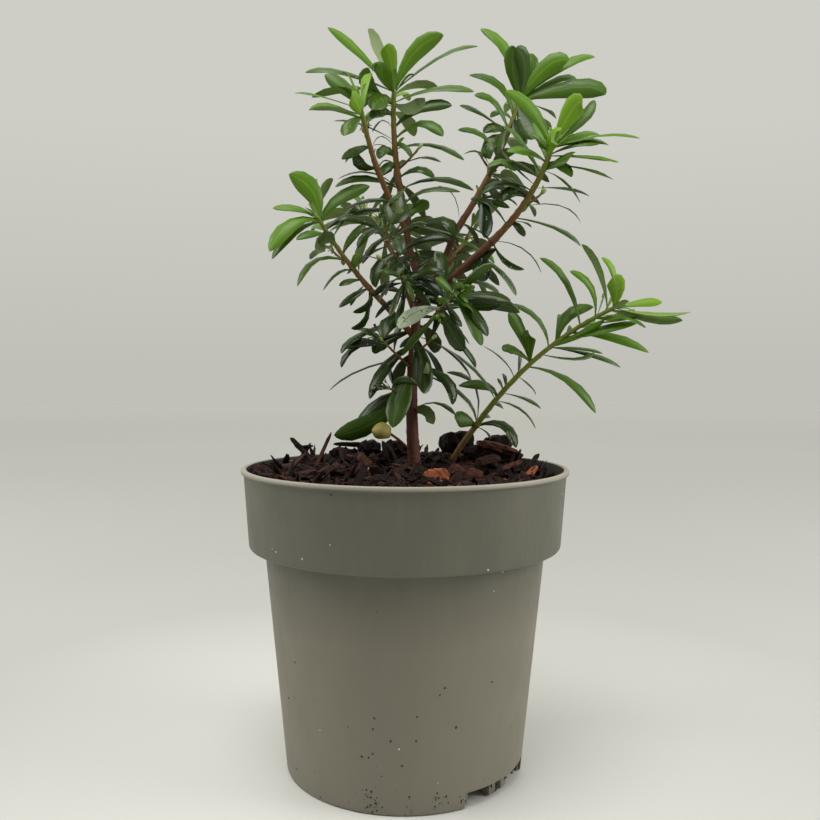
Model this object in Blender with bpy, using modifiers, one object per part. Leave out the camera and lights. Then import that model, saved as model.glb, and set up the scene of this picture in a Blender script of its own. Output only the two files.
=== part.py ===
# Potted daphne: a young evergreen shrub with its nursery pot, standing on Z = 0.
# Sizes are in millimetres and are scaled to metres by MM where meshes are made.
# X is to the right, Y away from the front, Z up; the origin is under the middle of the pot.

import math

import bmesh
import bpy
import numpy as np
from mathutils import Matrix, Vector, noise

OBJECT_NAME = "potted_daphne"
MM = 0.001
GAP = 0.3  # air between two pieces that touch on the real plant

# Pot: a 13 cm nursery pot with a deep collar, a thin lip and two drainage arches.
POT_STEPS = 48
RIM_RADIUS = 65.0
RIM_HEIGHT = 119.5
LIP_DEPTH = 2.1
LIP_REACH = 0.9
WALL = 1.2
COLLAR_RADIUS = 62.0  # at its lower edge
COLLAR_HEIGHT = 88.6  # of its lower edge
COLLAR_ROUND = 1.0
SHELF_RADIUS = 55.9  # where the lower wall meets the collar
BASE_RADIUS = 47.2
BASE_ROUND = 0.6
RIM_ROUND = 0.5
PLATE_RADIUS = 36.0
DRAFT = 1.0  # of the plate's side
CHANNEL_HEIGHT = 6.6
ARCH_AZIMUTHS = (52.0, 232.0)  # degrees to the right of the front
ARCH_WIDTH = 39.0
ARCH_HEIGHT = 6.0
ARCH_REACH = 10.0
DRAIN_COUNT = 6
DRAIN_RADIUS = 3.6
DRAIN_CIRCLE = 24.0
RIB_OFFSETS = (-23.5, -5.5, 4.0)  # ribs behind each arch, degrees from its middle
RIB_WIDTH = 3.8
RIB_LENGTH = 7.0
RIB_INSET = 0.6  # from the inside of the wall

# Potting mix: bark-rich, heaped in the middle and lower beside the wall.
MIX_STEPS = 36
MIX_RINGS = ((58.5, 112.2), (50.0, 114.6), (40.0, 115.6), (29.0, 116.0), (18.0, 116.2), (8.0, 116.3))
MIX_EDGE = 110.8
MIX_BUMP = 0.8
MIX_GRAIN = 9.0  # breadth of a bump
MIX_SEED = 11
CHIP_COUNT = 21
CHIP_CIRCLE = (10.0, 51.0)
CHIP_LENGTH = (6.0, 12.0)
CHIP_WIDTH = (3.0, 5.5)
CHIP_DEPTH = (2.0, 3.2)
CHIP_LEAN = 20.0  # degrees
FOOT_CLEAR = 9.0  # of chips round the feet of the stems
MOUND_RIM = 1.6  # wider than the stem that it carries
MOUND_FLARE = 3.0
MOUND_DEPTH = 5.0
# Larger pieces on the mix: middle, size, turn about Z and lean in degrees
LARGE_CHIPS = {
    "nugget": ((20.5, 41.0, 121.0), (13.0, 11.0, 16.0), 20.0, 10.0),
    "bark": ((38.5, 31.0, 117.0), (18.0, 9.0, 8.5), -12.0, 8.0),
    "slab": ((-27.0, 34.0, 116.0), (17.0, 10.0, 6.0), 35.0, -10.0),
    "stick": ((-44.0, 24.0, 120.0), (19.0, 2.6, 2.6), 10.0, 42.0),
    "sliver": ((50.0, -8.0, 115.5), (9.0, 2.4, 2.8), -40.0, -34.0),
}

# Trunk and boughs: middle of the foot, middle of the tip, bow of the middle, radii of both ends.
# A limb with ground stands on the mix with a flat cut. Any other is seated GAP clear of all
# the limbs before it, and one that follows a limb starts beyond the flat end of that one.
LIMBS = {
    "trunk": dict(
        foot=(4.0, 6.0, 117.4), tip=(6.1, 4.0, 193.2), bow=(-4.8, 0, 0), radii=(2.9, 2.1), ground=True
    ),
    "bough_left_leader": dict(
        foot=(6.1, 4.0, 193.2), tip=(-0.1, 4.0, 219.2), bow=(-2.8, 0, 0), radii=(1.75, 1.45), follows="trunk"
    ),
    "bough_left_side": dict(
        foot=(0.2, 4.0, 214.0), tip=(-11.6, -3.0, 237.0), bow=(-1.0, 0, 0), radii=(1.15, 1.1)
    ),
    "bough_centre_leader": dict(
        foot=(5.4, 4.2, 181.0), tip=(19.8, 6.0, 214.1), bow=(1.2, 0, -1.0), radii=(1.6, 1.4)
    ),
    "bough_right_leader": dict(
        foot=(5.0, 4.0, 182.5), tip=(32.8, -12.0, 207.4), bow=(0, 0, 0), radii=(1.6, 1.4)
    ),
    "bough_left_low": dict(
        foot=(3.7, 5.0, 171.5), tip=(-14.3, -2.0, 190.2), bow=(0, 0, 0), radii=(1.3, 1.1)
    ),
    "bough_right_basal": dict(
        foot=(19.2, 22.0, 118.1), tip=(29.8, 19.6, 134.5), bow=(-0.4, 0, 0.4), radii=(1.3, 1.25), ground=True
    ),
    "bough_back_left": dict(
        foot=(4.6, 4.3, 179.0), tip=(-3.5, 30.0, 204.9), bow=(0, 0, -2.0), radii=(1.3, 1.1)
    ),
    "bough_back_right": dict(
        foot=(5.6, 4.0, 184.0), tip=(18.3, 32.0, 204.0), bow=(0, 0, -2.0), radii=(1.3, 1.1)
    ),
}
ROOT_FLARE = 0.4  # of the radius, at the ground
FLARE_LENGTH = 4.0
LIMB_SPACING = 5.0  # between the rings of a limb
LIMB_POINTS = 161  # on the path that a limb is measured along

# Masses of foliage: what the shoots share, then what each has of its own. They grow in this
# order, each in the space that those before it leave free.
SHOOT = dict(
    radii=(1.2, 0.8),
    leaves=26,
    size=26.0,  # length of a full leaf
    slim=0.23,  # width over length
    shrink=0.4,  # of length, from the tip of the shoot to its foot
    crowd=1.3,  # how much closer the leaves stand towards the tip
    hand=1,  # which way round the leaves climb
    phase=0.0,  # radians, of the first leaf
    open=(38.0, 88.0),  # degrees from the shoot, at its tip and its foot
    bend=(0.45, 1.0),  # droop of a leaf, at the tip and the foot
    roll=35.0,  # degrees, most twist of a leaf about its rib
    twigs=0,
    twig_length=11.0,
    twig_radii=(0.75, 0.6),
    twig_leaves=8,
    seed=1,
)
MASSES = {
    "foliage_left_side": dict(
        follows="bough_left_side", tip=(-17.9, -13.8, 260.1), bow=(-1.0, 0, 0), radii=(1.05, 0.8),
        leaves=20, size=25.0, shrink=0.33, crowd=1.04, open=(25.0, 108.0),
        bend=(0.28, 0.82), phase=0.61, seed=8297,
    ),
    "foliage_trunk_left": dict(
        foot=(3.0, 5.0, 158.0), tip=(-9.7, -7.6, 170.1), bow=(0, 0, 0), radii=(0.8, 0.6),
        leaves=11, size=29.0, shrink=0.26, crowd=1.0, open=(95.0, 108.0),
        bend=(0.41, 0.89), phase=1.45, seed=782,
    ),
    "foliage_trunk_right": dict(
        foot=(3.3, 5.0, 164.0), tip=(11.0, -4.0, 171.0), bow=(0, 0, 0), radii=(0.8, 0.6),
        leaves=9, size=27.0, shrink=0.47, crowd=1.14, open=(80.0, 106.0),
        bend=(1.0, 1.84), phase=5.58, seed=2912,
    ),
    "foliage_trunk_low": dict(
        foot=(1.9, 5.4, 147.0), tip=(-7.0, -5.0, 151.0), bow=(0, 0, 0), radii=(0.8, 0.6),
        leaves=7, size=27.0, shrink=0.27, crowd=1.17, open=(92.0, 116.0),
        bend=(0.77, 1.61), phase=0.12, seed=5656,
    ),
    "foliage_left_leader": dict(
        follows="bough_left_leader", tip=(-5.2, 8.0, 270.4), bow=(-3.6, -1.0, 0), radii=(1.4, 0.9),
        leaves=40, size=31.0, shrink=0.42, crowd=1.62, open=(38.0, 106.0), bend=(0.17, 1.34),
        phase=4.61, twigs=1, seed=4280,
    ),
    "foliage_centre_leader": dict(
        follows="bough_centre_leader", tip=(46.8, 17.8, 270.4), bow=(4.0, -1.0, -2.0), radii=(1.35, 0.9),
        leaves=32, size=35.0, shrink=0.38, crowd=1.27, open=(31.0, 70.0), bend=(0.39, 1.13),
        phase=0.19, twigs=1, seed=9487,
    ),
    "foliage_right_leader": dict(
        follows="bough_right_leader", tip=(53.6, -23.6, 240.2), bow=(5.0, 0, -2.0), radii=(1.35, 0.9),
        leaves=34, size=31.0, shrink=0.5, crowd=1.35, open=(29.0, 78.0), bend=(0.21, 0.63),
        phase=0.26, twigs=1, seed=8577,
    ),
    "foliage_left_low": dict(
        follows="bough_left_low", tip=(-34.3, -8.3, 217.1), bow=(-1.0, 0, -1.5), radii=(1.05, 0.75),
        leaves=26, size=28.0, crowd=1.38, open=(49.0, 83.0), bend=(0.29, 0.5),
        phase=2.28, twigs=1, seed=1772,
    ),
    "foliage_right_basal": dict(
        follows="bough_right_basal", tip=(85.3, 8.9, 183.9), bow=(-5.2, 0, 9.0), radii=(1.2, 0.8),
        leaves=34, size=28.0, shrink=0.5, crowd=1.5, open=(33.0, 70.0),
        bend=(0.15, 0.51), phase=5.64, seed=8621,
    ),
    "foliage_heart_left": dict(
        foot=(5.0, 4.0, 176.0), tip=(-8.4, -23.0, 212.8), bow=(0, 0, 0), radii=(0.95, 0.7),
        leaves=16, size=26.0, shrink=0.24, crowd=1.19, open=(42.0, 79.0), bend=(0.39, 1.21),
        phase=0.79, twigs=2, seed=6085,
    ),
    "foliage_heart_right": dict(
        foot=(4.2, 4.5, 170.0), tip=(18.3, -30.0, 186.0), bow=(0, 0, 3.0), radii=(0.95, 0.7),
        leaves=18, size=31.0, shrink=0.26, crowd=1.19, open=(44.0, 122.0), bend=(0.15, 0.54),
        phase=0.02, twigs=2, seed=8999,
    ),
    "foliage_back_left": dict(
        follows="bough_back_left", tip=(-18.4, 59.4, 233.2), bow=(0, 0, 0), radii=(1.05, 0.75),
        leaves=21, size=28.0, shrink=0.15, crowd=1.24, open=(53.0, 93.0), bend=(0.31, 0.97),
        phase=2.65, twigs=2, seed=3324,
    ),
    "foliage_back_right": dict(
        follows="bough_back_right", tip=(33.5, 61.0, 226.9), bow=(0, 0, 0), radii=(1.05, 0.75),
        leaves=23, size=32.0, shrink=0.22, crowd=1.0, open=(25.0, 102.0), bend=(0.15, 0.77),
        phase=1.27, twigs=2, seed=3845,
    ),
}
GOLDEN_TURN = math.radians(137.508)
WAVER = 0.16  # radians, of a leaf's place round its shoot
FIRST_AGE = 0.3  # of the first leaf, of the step from one leaf's age to the next
ROOT_SINK = 1.0  # of the first and last leaf, inside the ends of their shoot
LEAF_YOUNG = (0.6, 0.13)  # of its length that the first leaf has, and what each next one gains
LEAF_FOLDED = (0.35, 0.14)  # likewise of how far it opens
LEAF_PULL = (0.35, -0.55, -0.75)  # where a leaf droops: outwards, along the shoot and up
OPENS_AS = 0.55  # powers of age, and of the place along the rib
SHRINKS_AS = 1.5
DROOPS_AS = 1.3
VARY_OPEN = 9.0  # degrees
VARY_LENGTH = 0.13
VARY_WIDTH = 0.12
VARY_BEND = 0.3
TWIG_SPAN = (0.22, 0.4)  # of the stem, the stretch that twigs stand on and its length
TWIG_LOWEST = 0.25  # of a twig, its lowest leaf
TWIG_LEAN = (52.0, 10.0)  # degrees from the stem, and how much it varies
TWIG_SIZE = 0.72  # of its leaves beside the stem's
TWIG_SAG = 0.1  # of its length
TWIG_PHASE = 1.7  # turns of the first twig for one of the first leaf
TWIG_TURN = 1.1  # radians between the first leaves of two shoots
TWIG_VARIES = (0.05, 0.5, 0.2)  # share of the stem, radians round it, and share of its length
LEAF_ARC = 40  # equal steps along a leaf's rib
LEAF_RINGS = (0, 16, 31, 40)  # the steps where the solid has a section, and its tip
LEAF_CHECKS = (4, 8, 13, 18, 23, 28, 32, 36, 40)  # the steps where its clearance is measured
LEAF_FULLEST = 0.657  # greatest value of the formula of its outline
LEAF_STALK = 0.16  # of its width, at the root
LEAF_KEEL = 0.022  # of its length, the depth under the blade
LEAF_CLEARANCE = 1.9  # between the leaves of two masses
LEAF_SHARES = (1.0, 0.8, 0.62)  # of its length that a leaf is tried at before it is skipped
LIMB_CLEARANCE = 0.7
LOWEST_LEAF = 122.0

COLOURS = {
    "pot": ((0.19, 0.185, 0.16), 0.6),
    "potting_mix": ((0.035, 0.02, 0.016), 0.95),
    "bark": ((0.09, 0.035, 0.022), 0.7),
    "leaf": ((0.045, 0.12, 0.025), 0.4),
}


# Scene and materials
def clear_scene():
    for old in list(bpy.data.objects):
        bpy.data.objects.remove(old, do_unlink=True)


def make_collection(name, hidden=False):
    collection = bpy.data.collections.new(name)
    bpy.context.scene.collection.children.link(collection)
    collection.hide_render = hidden
    return collection


def make_material(name, look):
    colour, roughness = COLOURS[look]
    material = bpy.data.materials.new(name)
    material.use_nodes = True
    shader = material.node_tree.nodes["Principled BSDF"]
    shader.inputs["Base Color"].default_value = (*colour, 1.0)
    shader.inputs["Roughness"].default_value = roughness
    shader.inputs["Metallic"].default_value = 0.0
    material.diffuse_color = (*colour, 1.0)
    return material


def add_object(name, mesh, collection, look=None):
    obj = bpy.data.objects.new(name, mesh)
    collection.objects.link(obj)
    if look:
        mesh.materials.append(make_material(name, look))
    return obj


def mesh_from(bm, name):
    mesh = bpy.data.meshes.new(name)
    bm.to_mesh(mesh)
    bm.free()
    return mesh


def hide(obj):
    obj.hide_render = True
    obj.display_type = "WIRE"


def apply_modifiers(obj):
    bpy.context.view_layer.objects.active = obj
    for modifier in list(obj.modifiers):
        bpy.ops.object.modifier_apply(modifier=modifier.name)


def add_boolean(obj, operation, pieces, solver="EXACT"):
    boolean = obj.modifiers.new(operation.title(), "BOOLEAN")
    boolean.operation = operation
    boolean.solver = solver
    boolean.operand_type = "COLLECTION"
    boolean.collection = pieces


def add_box(name, collection, size, place):
    """A box of this size in millimetres, put where the matrix says."""
    bm = bmesh.new()
    bmesh.ops.create_cube(bm, size=1.0)
    bmesh.ops.scale(bm, vec=Vector(size) * MM, verts=bm.verts)
    obj = add_object(name, mesh_from(bm, name), collection)
    obj.matrix_world = place
    return obj


def add_cylinder(name, collection, radii, depth, place, sides=20):
    """A cylinder or a cone, its axis on Z, put where the matrix says."""
    bm = bmesh.new()
    bmesh.ops.create_cone(
        bm, cap_ends=True, segments=sides, radius1=radii[0] * MM, radius2=radii[1] * MM, depth=depth * MM
    )
    obj = add_object(name, mesh_from(bm, name), collection)
    obj.matrix_world = place
    return obj


def at(x, y, z):
    return Matrix.Translation(Vector((x, y, z)) * MM)


def azimuth(degrees):
    """A turn about Z that takes the front (-Y) this far to the right."""
    return Matrix.Rotation(math.radians(degrees), 4, "Z")


# Pot
def wall_radius(height):
    """Outer radius of the lower wall, straight from the foot to the collar."""
    return BASE_RADIUS + (SHELF_RADIUS - BASE_RADIUS) * height / COLLAR_HEIGHT


def collar_radius(height):
    share = (height - COLLAR_HEIGHT) / (RIM_HEIGHT - COLLAR_HEIGHT)
    return COLLAR_RADIUS + (RIM_RADIUS - LIP_REACH - COLLAR_RADIUS) * share


def pot_profile():
    """Half of the pot's section, (radius, height), from under its middle round to its inside."""
    lip_bottom = RIM_HEIGHT - LIP_DEPTH
    inner_shelf = COLLAR_HEIGHT + WALL
    return [
        (0, 0),
        (PLATE_RADIUS, 0),
        (PLATE_RADIUS + DRAFT, CHANNEL_HEIGHT),
        (wall_radius(CHANNEL_HEIGHT) - WALL, CHANNEL_HEIGHT),
        (BASE_RADIUS - WALL - 0.1, 0),
        (BASE_RADIUS - BASE_ROUND, 0),
        (BASE_RADIUS, BASE_ROUND),
        (wall_radius(COLLAR_HEIGHT - 0.4), COLLAR_HEIGHT - 0.4),
        (SHELF_RADIUS + 0.5, COLLAR_HEIGHT),
        (COLLAR_RADIUS - COLLAR_ROUND, COLLAR_HEIGHT),
        (COLLAR_RADIUS, COLLAR_HEIGHT + COLLAR_ROUND),
        (collar_radius(lip_bottom), lip_bottom),
        (RIM_RADIUS, lip_bottom + 0.3),
        (RIM_RADIUS, RIM_HEIGHT - RIM_ROUND),
        (RIM_RADIUS - RIM_ROUND, RIM_HEIGHT),
        (collar_radius(RIM_HEIGHT) - WALL + 0.3, RIM_HEIGHT),
        (collar_radius(RIM_HEIGHT) - WALL, RIM_HEIGHT - RIM_ROUND),
        (collar_radius(inner_shelf) - WALL, inner_shelf),
        (wall_radius(inner_shelf) - WALL, inner_shelf),
        (wall_radius(CHANNEL_HEIGHT + WALL) - WALL, CHANNEL_HEIGHT + WALL),
        (PLATE_RADIUS - 0.3, CHANNEL_HEIGHT + WALL),
        (PLATE_RADIUS - WALL, WALL),
        (0, WALL),
    ]


def turned(name, profile, steps, collection, look):
    """The profile turned once about Z, as a live Screw modifier."""
    bm = bmesh.new()
    points = [bm.verts.new((radius * MM, 0, height * MM)) for radius, height in profile]
    for start, end in zip(points, points[1:]):
        bm.edges.new((start, end))
    obj = add_object(name, mesh_from(bm, name), collection, look)
    screw = obj.modifiers.new("Turn", "SCREW")
    screw.axis = "Z"
    screw.angle = math.tau
    screw.steps = steps
    screw.render_steps = steps
    screw.use_merge_vertices = True
    screw.merge_threshold = 0.00005
    screw.use_normal_calculate = True
    screw.use_normal_flip = False
    return obj


def build_pot(collection, cutters, ribs):
    pot = turned("pot", pot_profile(), POT_STEPS, collection, "pot")
    for number, side in enumerate(ARCH_AZIMUTHS):
        place = azimuth(side) @ at(0, -BASE_RADIUS, 0)
        size = (ARCH_WIDTH, ARCH_REACH, ARCH_HEIGHT * 2)
        hide(add_box(f"arch_cutter_{number}", cutters, size, place))
        for index, offset in enumerate(RIB_OFFSETS):
            middle = BASE_RADIUS - WALL - RIB_LENGTH / 2 - RIB_INSET
            place = azimuth(side + offset) @ at(0, -middle, (CHANNEL_HEIGHT + WALL / 2) / 2)
            size = (RIB_WIDTH, RIB_LENGTH, CHANNEL_HEIGHT + WALL / 2)
            hide(add_box(f"rib_{number}_{index}", ribs, size, place))
    for number in range(DRAIN_COUNT):
        place = azimuth(360 * number / DRAIN_COUNT) @ at(0, DRAIN_CIRCLE, 0)
        hide(add_cylinder(f"drain_cutter_{number}", cutters, (DRAIN_RADIUS, DRAIN_RADIUS), 8, place, 12))
    add_boolean(pot, "DIFFERENCE", cutters)
    add_boolean(pot, "UNION", ribs)
    return pot


# Potting mix
def mix_profile():
    """The inside of the pot, GAP clear of it, up to the foot of the heap."""
    inner_shelf = COLLAR_HEIGHT + WALL
    floor = CHANNEL_HEIGHT + WALL
    return [
        (0, WALL + GAP),
        (PLATE_RADIUS - WALL - GAP - 0.1, WALL + GAP),
        (PLATE_RADIUS - 0.6, floor + GAP),
        (wall_radius(floor) - WALL - GAP, floor + GAP),
        (wall_radius(inner_shelf) - WALL - GAP, inner_shelf + GAP),
        (collar_radius(inner_shelf) - WALL - GAP, inner_shelf + GAP),
        (collar_radius(MIX_EDGE) - WALL - GAP, MIX_EDGE),
        *MIX_RINGS,
        (0, MIX_RINGS[-1][1]),
    ]


def bumpy(mesh):
    """Moves the points of the heap up and down by a seeded noise."""
    for vertex in mesh.vertices:
        radius = Vector(vertex.co.xy).length / MM
        if vertex.co.z > MIX_EDGE * MM and radius < MIX_RINGS[0][0] + 1:
            spot = Vector((vertex.co.x, vertex.co.y, 0)) / (MIX_GRAIN * MM)
            vertex.co.z += noise.noise(spot + Vector((0, 0, MIX_SEED))) * MIX_BUMP * MM


def mix_height(radius):
    rings = ((0, MIX_RINGS[-1][1]), *reversed(MIX_RINGS))
    return float(np.interp(radius, [r for r, _ in rings], [z for _, z in rings]))


def lies(middle, turn, lean):
    """Where a chip lies: turned about Z by turn, its far end raised by lean, in degrees."""
    level = Matrix.Rotation(math.radians(turn), 4, "Z")
    return at(*middle) @ level @ Matrix.Rotation(math.radians(lean), 4, "Y")


def add_chips(heap, feet):
    """Bark chips by a seeded rule, clear of the feet of the stems."""
    rng = np.random.default_rng(MIX_SEED)
    made = 0
    while made < CHIP_COUNT:
        draw = rng.random(7)
        radius = CHIP_CIRCLE[0] + (CHIP_CIRCLE[1] - CHIP_CIRCLE[0]) * math.sqrt(draw[0])
        turn = math.tau * draw[1]
        spot = Vector((radius * math.cos(turn), radius * math.sin(turn), mix_height(radius)))
        if min((spot.xy - foot.xy).length for foot in feet) < FOOT_CLEAR:
            continue
        ranges = (CHIP_LENGTH, CHIP_WIDTH, CHIP_DEPTH)
        size = [low + (high - low) * share for (low, high), share in zip(ranges, draw[2:5])]
        lean = CHIP_LEAN * (2 * draw[5] - 1)
        add_box(f"chip_{made}", heap, size, lies(spot, 360 * draw[6], lean))
        made += 1


def build_mix(collection):
    mix = turned("potting_mix", mix_profile(), MIX_STEPS, collection, "potting_mix")
    apply_modifiers(mix)
    bumpy(mix.data)
    heap = make_collection("heap")
    feet = [Vector(limb["foot"]) for limb in LIMBS.values() if limb.get("ground")]
    for number, limb in enumerate(limb for limb in LIMBS.values() if limb.get("ground")):
        top = limb["radii"][0] * (1 + ROOT_FLARE) + MOUND_RIM
        x, y, z = limb["foot"]
        place = at(x, y, z - GAP - MOUND_DEPTH / 2)
        add_cylinder(f"mound_{number}", heap, (top + MOUND_FLARE, top), MOUND_DEPTH, place, 12)
    for name, (middle, size, turn, lean) in LARGE_CHIPS.items():
        add_box(name, heap, size, lies(middle, turn, lean))
    add_chips(heap, feet)
    fuse(mix, heap)
    return mix


# Paths and limbs
def unit(vectors):
    return vectors / np.linalg.norm(vectors, axis=-1, keepdims=True)


def arc(foot, tip, bow, count=LIMB_POINTS):
    """A quadratic curve whose middle is pushed out by half of bow."""
    foot, tip, bow = (np.array(point, float) for point in (foot, tip, bow))
    t = np.linspace(0.0, 1.0, count)[:, None]
    return (1 - t) ** 2 * foot + 2 * t * (1 - t) * ((foot + tip) / 2 + bow) + t**2 * tip


def length_of(path):
    return np.linalg.norm(np.diff(path, axis=0), axis=1).sum()


def taken(path, distances):
    """Points of the path at these distances from its foot."""
    steps = np.linalg.norm(np.diff(path, axis=0), axis=1)
    along = np.concatenate([[0.0], np.cumsum(steps)])
    return np.stack([np.interp(distances, along, path[:, axis]) for axis in range(3)], 1)


def across(axis):
    """Two directions square to each axis: a level one and the one above it."""
    side = np.cross(axis, [0.0, 0.0, 1.0])
    steep = np.linalg.norm(side, axis=-1, keepdims=True) < 0.2
    side = unit(np.where(steep, np.cross(axis, [0.0, 1.0, 0.0]), side))
    return side, np.cross(side, axis)


def skin_gap(points, limb):
    """How far each point is from the skin of a tapering limb."""
    path, radii = limb
    start, edge = path[:-1], np.diff(path, axis=0)
    share = ((points[:, None] - start) * edge).sum(-1) / (edge * edge).sum(-1)
    share = np.clip(share, 0, 1)
    near = start + share[..., None] * edge
    radius = radii[0] + (radii[1] - radii[0]) * (np.arange(len(start)) + share) / len(start)
    return (np.linalg.norm(points[:, None] - near, axis=-1) - radius).min(1)


def seated(limb, limbs):
    """The limb's path from where the rim of its foot is GAP clear of the limbs already there.

    A limb that follows another lies wholly beyond the flat end of that one.
    """
    path = arc(limb["foot"], limb["tip"], limb["bow"])
    before = limb.get("follows")
    others = [other for name, other in limbs.items() if name != before]
    ahead = unit(np.gradient(path, axis=0))
    turn = np.linspace(0, math.tau, 12, endpoint=False)[:, None]
    for first in range(len(path) // 2):
        side, above = across(ahead[first])
        rim = path[first] + limb["radii"][0] * (np.cos(turn) * side + np.sin(turn) * above)
        gaps = [skin_gap(rim, other).min() for other in others]
        if before:
            end = limbs[before][0]
            gaps.append(((rim - end[-1]) @ unit(end[-1] - end[-2])).min())
        if min(gaps) >= GAP:
            return path[first:]
    raise ValueError("a limb has no room at its foot")


def limb_paths():
    """Each limb's path and radii, seated on the limbs before it."""
    limbs = {}
    for name, limb in LIMBS.items():
        if limb.get("ground"):
            path = arc(limb["foot"], limb["tip"], limb["bow"])
        else:
            path = seated(limb, limbs)
        limbs[name] = (path, limb["radii"])
    return limbs


def add_tube(name, path, radii, collection, flare=0.0, resolution=2):
    """A tapering tube along the path: a curve with a bevel and filled caps, made a welded mesh."""
    total = length_of(path)
    count = max(3, round(total / LIMB_SPACING) + 1)
    distances = np.linspace(0, total, count)
    if flare:
        distances = np.unique(np.concatenate([distances, [0.3 * FLARE_LENGTH, FLARE_LENGTH]]))
    share = distances / total
    thick = radii[0] + (radii[1] - radii[0]) * share
    thick = thick * (1 + flare * np.exp(-2 * distances / FLARE_LENGTH))
    curve = bpy.data.curves.new(name, "CURVE")
    curve.dimensions = "3D"
    curve.bevel_depth = MM
    curve.bevel_resolution = resolution
    curve.use_fill_caps = True
    line = curve.splines.new("POLY")
    line.points.add(len(distances) - 1)
    for point, place, radius in zip(line.points, taken(path, distances), thick):
        point.co = (*(place * MM), 1.0)
        point.radius = radius
    guide = bpy.data.objects.new(f"{name}_guide", curve)
    bpy.context.scene.collection.objects.link(guide)
    graph = bpy.context.evaluated_depsgraph_get()
    mesh = bpy.data.meshes.new_from_object(guide.evaluated_get(graph))
    bpy.data.objects.remove(guide, do_unlink=True)
    bpy.data.curves.remove(curve)
    weld(mesh)
    return add_object(name, mesh, collection)


def weld(mesh):
    bm = bmesh.new()
    bm.from_mesh(mesh)
    bmesh.ops.remove_doubles(bm, verts=bm.verts, dist=0.001 * MM)
    bmesh.ops.recalc_face_normals(bm, faces=bm.faces)
    bm.to_mesh(mesh)
    bm.free()


def cut_level(obj, height):
    """Cuts the foot of a limb off flat at this height and closes it."""
    bm = bmesh.new()
    bm.from_mesh(obj.data)
    plane = Vector((0, 0, height * MM))
    everything = bm.verts[:] + bm.edges[:] + bm.faces[:]
    cut = bmesh.ops.bisect_plane(bm, geom=everything, plane_co=plane, plane_no=(0, 0, 1), clear_inner=True)
    rim = [item for item in cut["geom_cut"] if isinstance(item, bmesh.types.BMEdge)]
    bmesh.ops.contextual_create(bm, geom=rim)
    bmesh.ops.recalc_face_normals(bm, faces=bm.faces)
    bm.to_mesh(obj.data)
    bm.free()


def build_limbs(limbs, collection):
    for name, (path, radii) in limbs.items():
        if LIMBS[name].get("ground"):
            root = path[0] + (path[0] - path[3]) / np.linalg.norm(path[3] - path[0]) * 2 * radii[0]
            flare = ROOT_FLARE if name == "trunk" else 0.0
            obj = add_tube(name, np.vstack([root, path]), radii, collection, flare)
            cut_level(obj, LIMBS[name]["foot"][2])
        else:
            obj = add_tube(name, path, radii, collection)
        obj.data.materials.append(make_material(name, "bark"))


# Shoots and leaves
def shoots_of(mass, path, rng):
    """The stem of a mass and its seeded side twigs: path, radii, leaves and their size."""
    stem = (path, mass["radii"], mass["leaves"], mass["size"])
    shoots = [stem]
    total = length_of(path)
    for number in range(mass["twigs"]):
        draw = rng.random(4) * 2 - 1
        share = TWIG_SPAN[0] + TWIG_SPAN[1] * (number + 0.5) / mass["twigs"]
        place = total * (share + TWIG_VARIES[0] * draw[0])
        root = taken(path, [place])[0]
        axis = unit(taken(path, [place + 0.5])[0] - taken(path, [place - 0.5])[0])
        side, above = across(axis)
        turn = TWIG_PHASE * mass["phase"] + GOLDEN_TURN * (number + 1) + TWIG_VARIES[1] * draw[1]
        outward = math.cos(turn) * side + math.sin(turn) * above
        lean = math.radians(TWIG_LEAN[0] + TWIG_LEAN[1] * draw[2])
        length = mass["twig_length"] * (1 + TWIG_VARIES[2] * draw[3])
        tip = root + length * (math.cos(lean) * axis + math.sin(lean) * outward)
        twig = arc(root, tip, (0, 0, -TWIG_SAG * length), 25)
        shoots.append((twig, mass["twig_radii"], mass["twig_leaves"], TWIG_SIZE * mass["size"]))
    return shoots


def leaves_of(mass, shoots, rng):
    """Roots, first directions, sizes and bends of all the leaves of a mass, tips of shoots first.

    Leaf number i stands at distance length * age ** crowd below the tip of its shoot and
    i golden turns round it; with age it opens wider, droops more and is shorter.
    """
    grown = []
    for number, (path, _, count, size) in enumerate(shoots):
        draw = rng.random((count, 6)) * 2 - 1
        index = np.arange(count)
        age = (index + FIRST_AGE) / count
        total = length_of(path)
        lowest = max(ROOT_SINK, TWIG_LOWEST * total if number else 0.0)
        place = total - ROOT_SINK - (total - ROOT_SINK - lowest) * age ** mass["crowd"]
        ahead = np.minimum(place + 1, total)
        axis = unit(taken(path, ahead) - taken(path, ahead - 2))
        side, above = across(axis)
        turn = mass["phase"] + TWIG_TURN * number + mass["hand"] * GOLDEN_TURN * index + WAVER * draw[:, 0]
        outward = np.cos(turn)[:, None] * side + np.sin(turn)[:, None] * above
        low, high = mass["open"]
        spread = np.radians(low + (high - low) * age**OPENS_AS + VARY_OPEN * draw[:, 1])
        spread = (spread * np.minimum(1.0, LEAF_FOLDED[0] + LEAF_FOLDED[1] * index))[:, None]
        length = size * (1 - mass["shrink"] * age**SHRINKS_AS) * (1 + VARY_LENGTH * draw[:, 2])
        length = length * np.minimum(1.0, LEAF_YOUNG[0] + LEAF_YOUNG[1] * index)
        low, high = mass["bend"]
        grown.append(
            dict(
                root=taken(path, place),
                axis=axis,
                first=np.cos(spread) * axis + np.sin(spread) * outward,
                pull=unit(LEAF_PULL[0] * outward + LEAF_PULL[1] * axis + [0.0, 0.0, LEAF_PULL[2]]),
                length=length,
                width=length * mass["slim"] * (1 + VARY_WIDTH * draw[:, 3]),
                bend=low + (high - low) * age + VARY_BEND * draw[:, 4],
                roll=math.radians(mass["roll"]) * draw[:, 5],
                age=age,
            )
        )
    return {key: np.concatenate([leaves[key] for leaves in grown]) for key in grown[0]}


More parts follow.
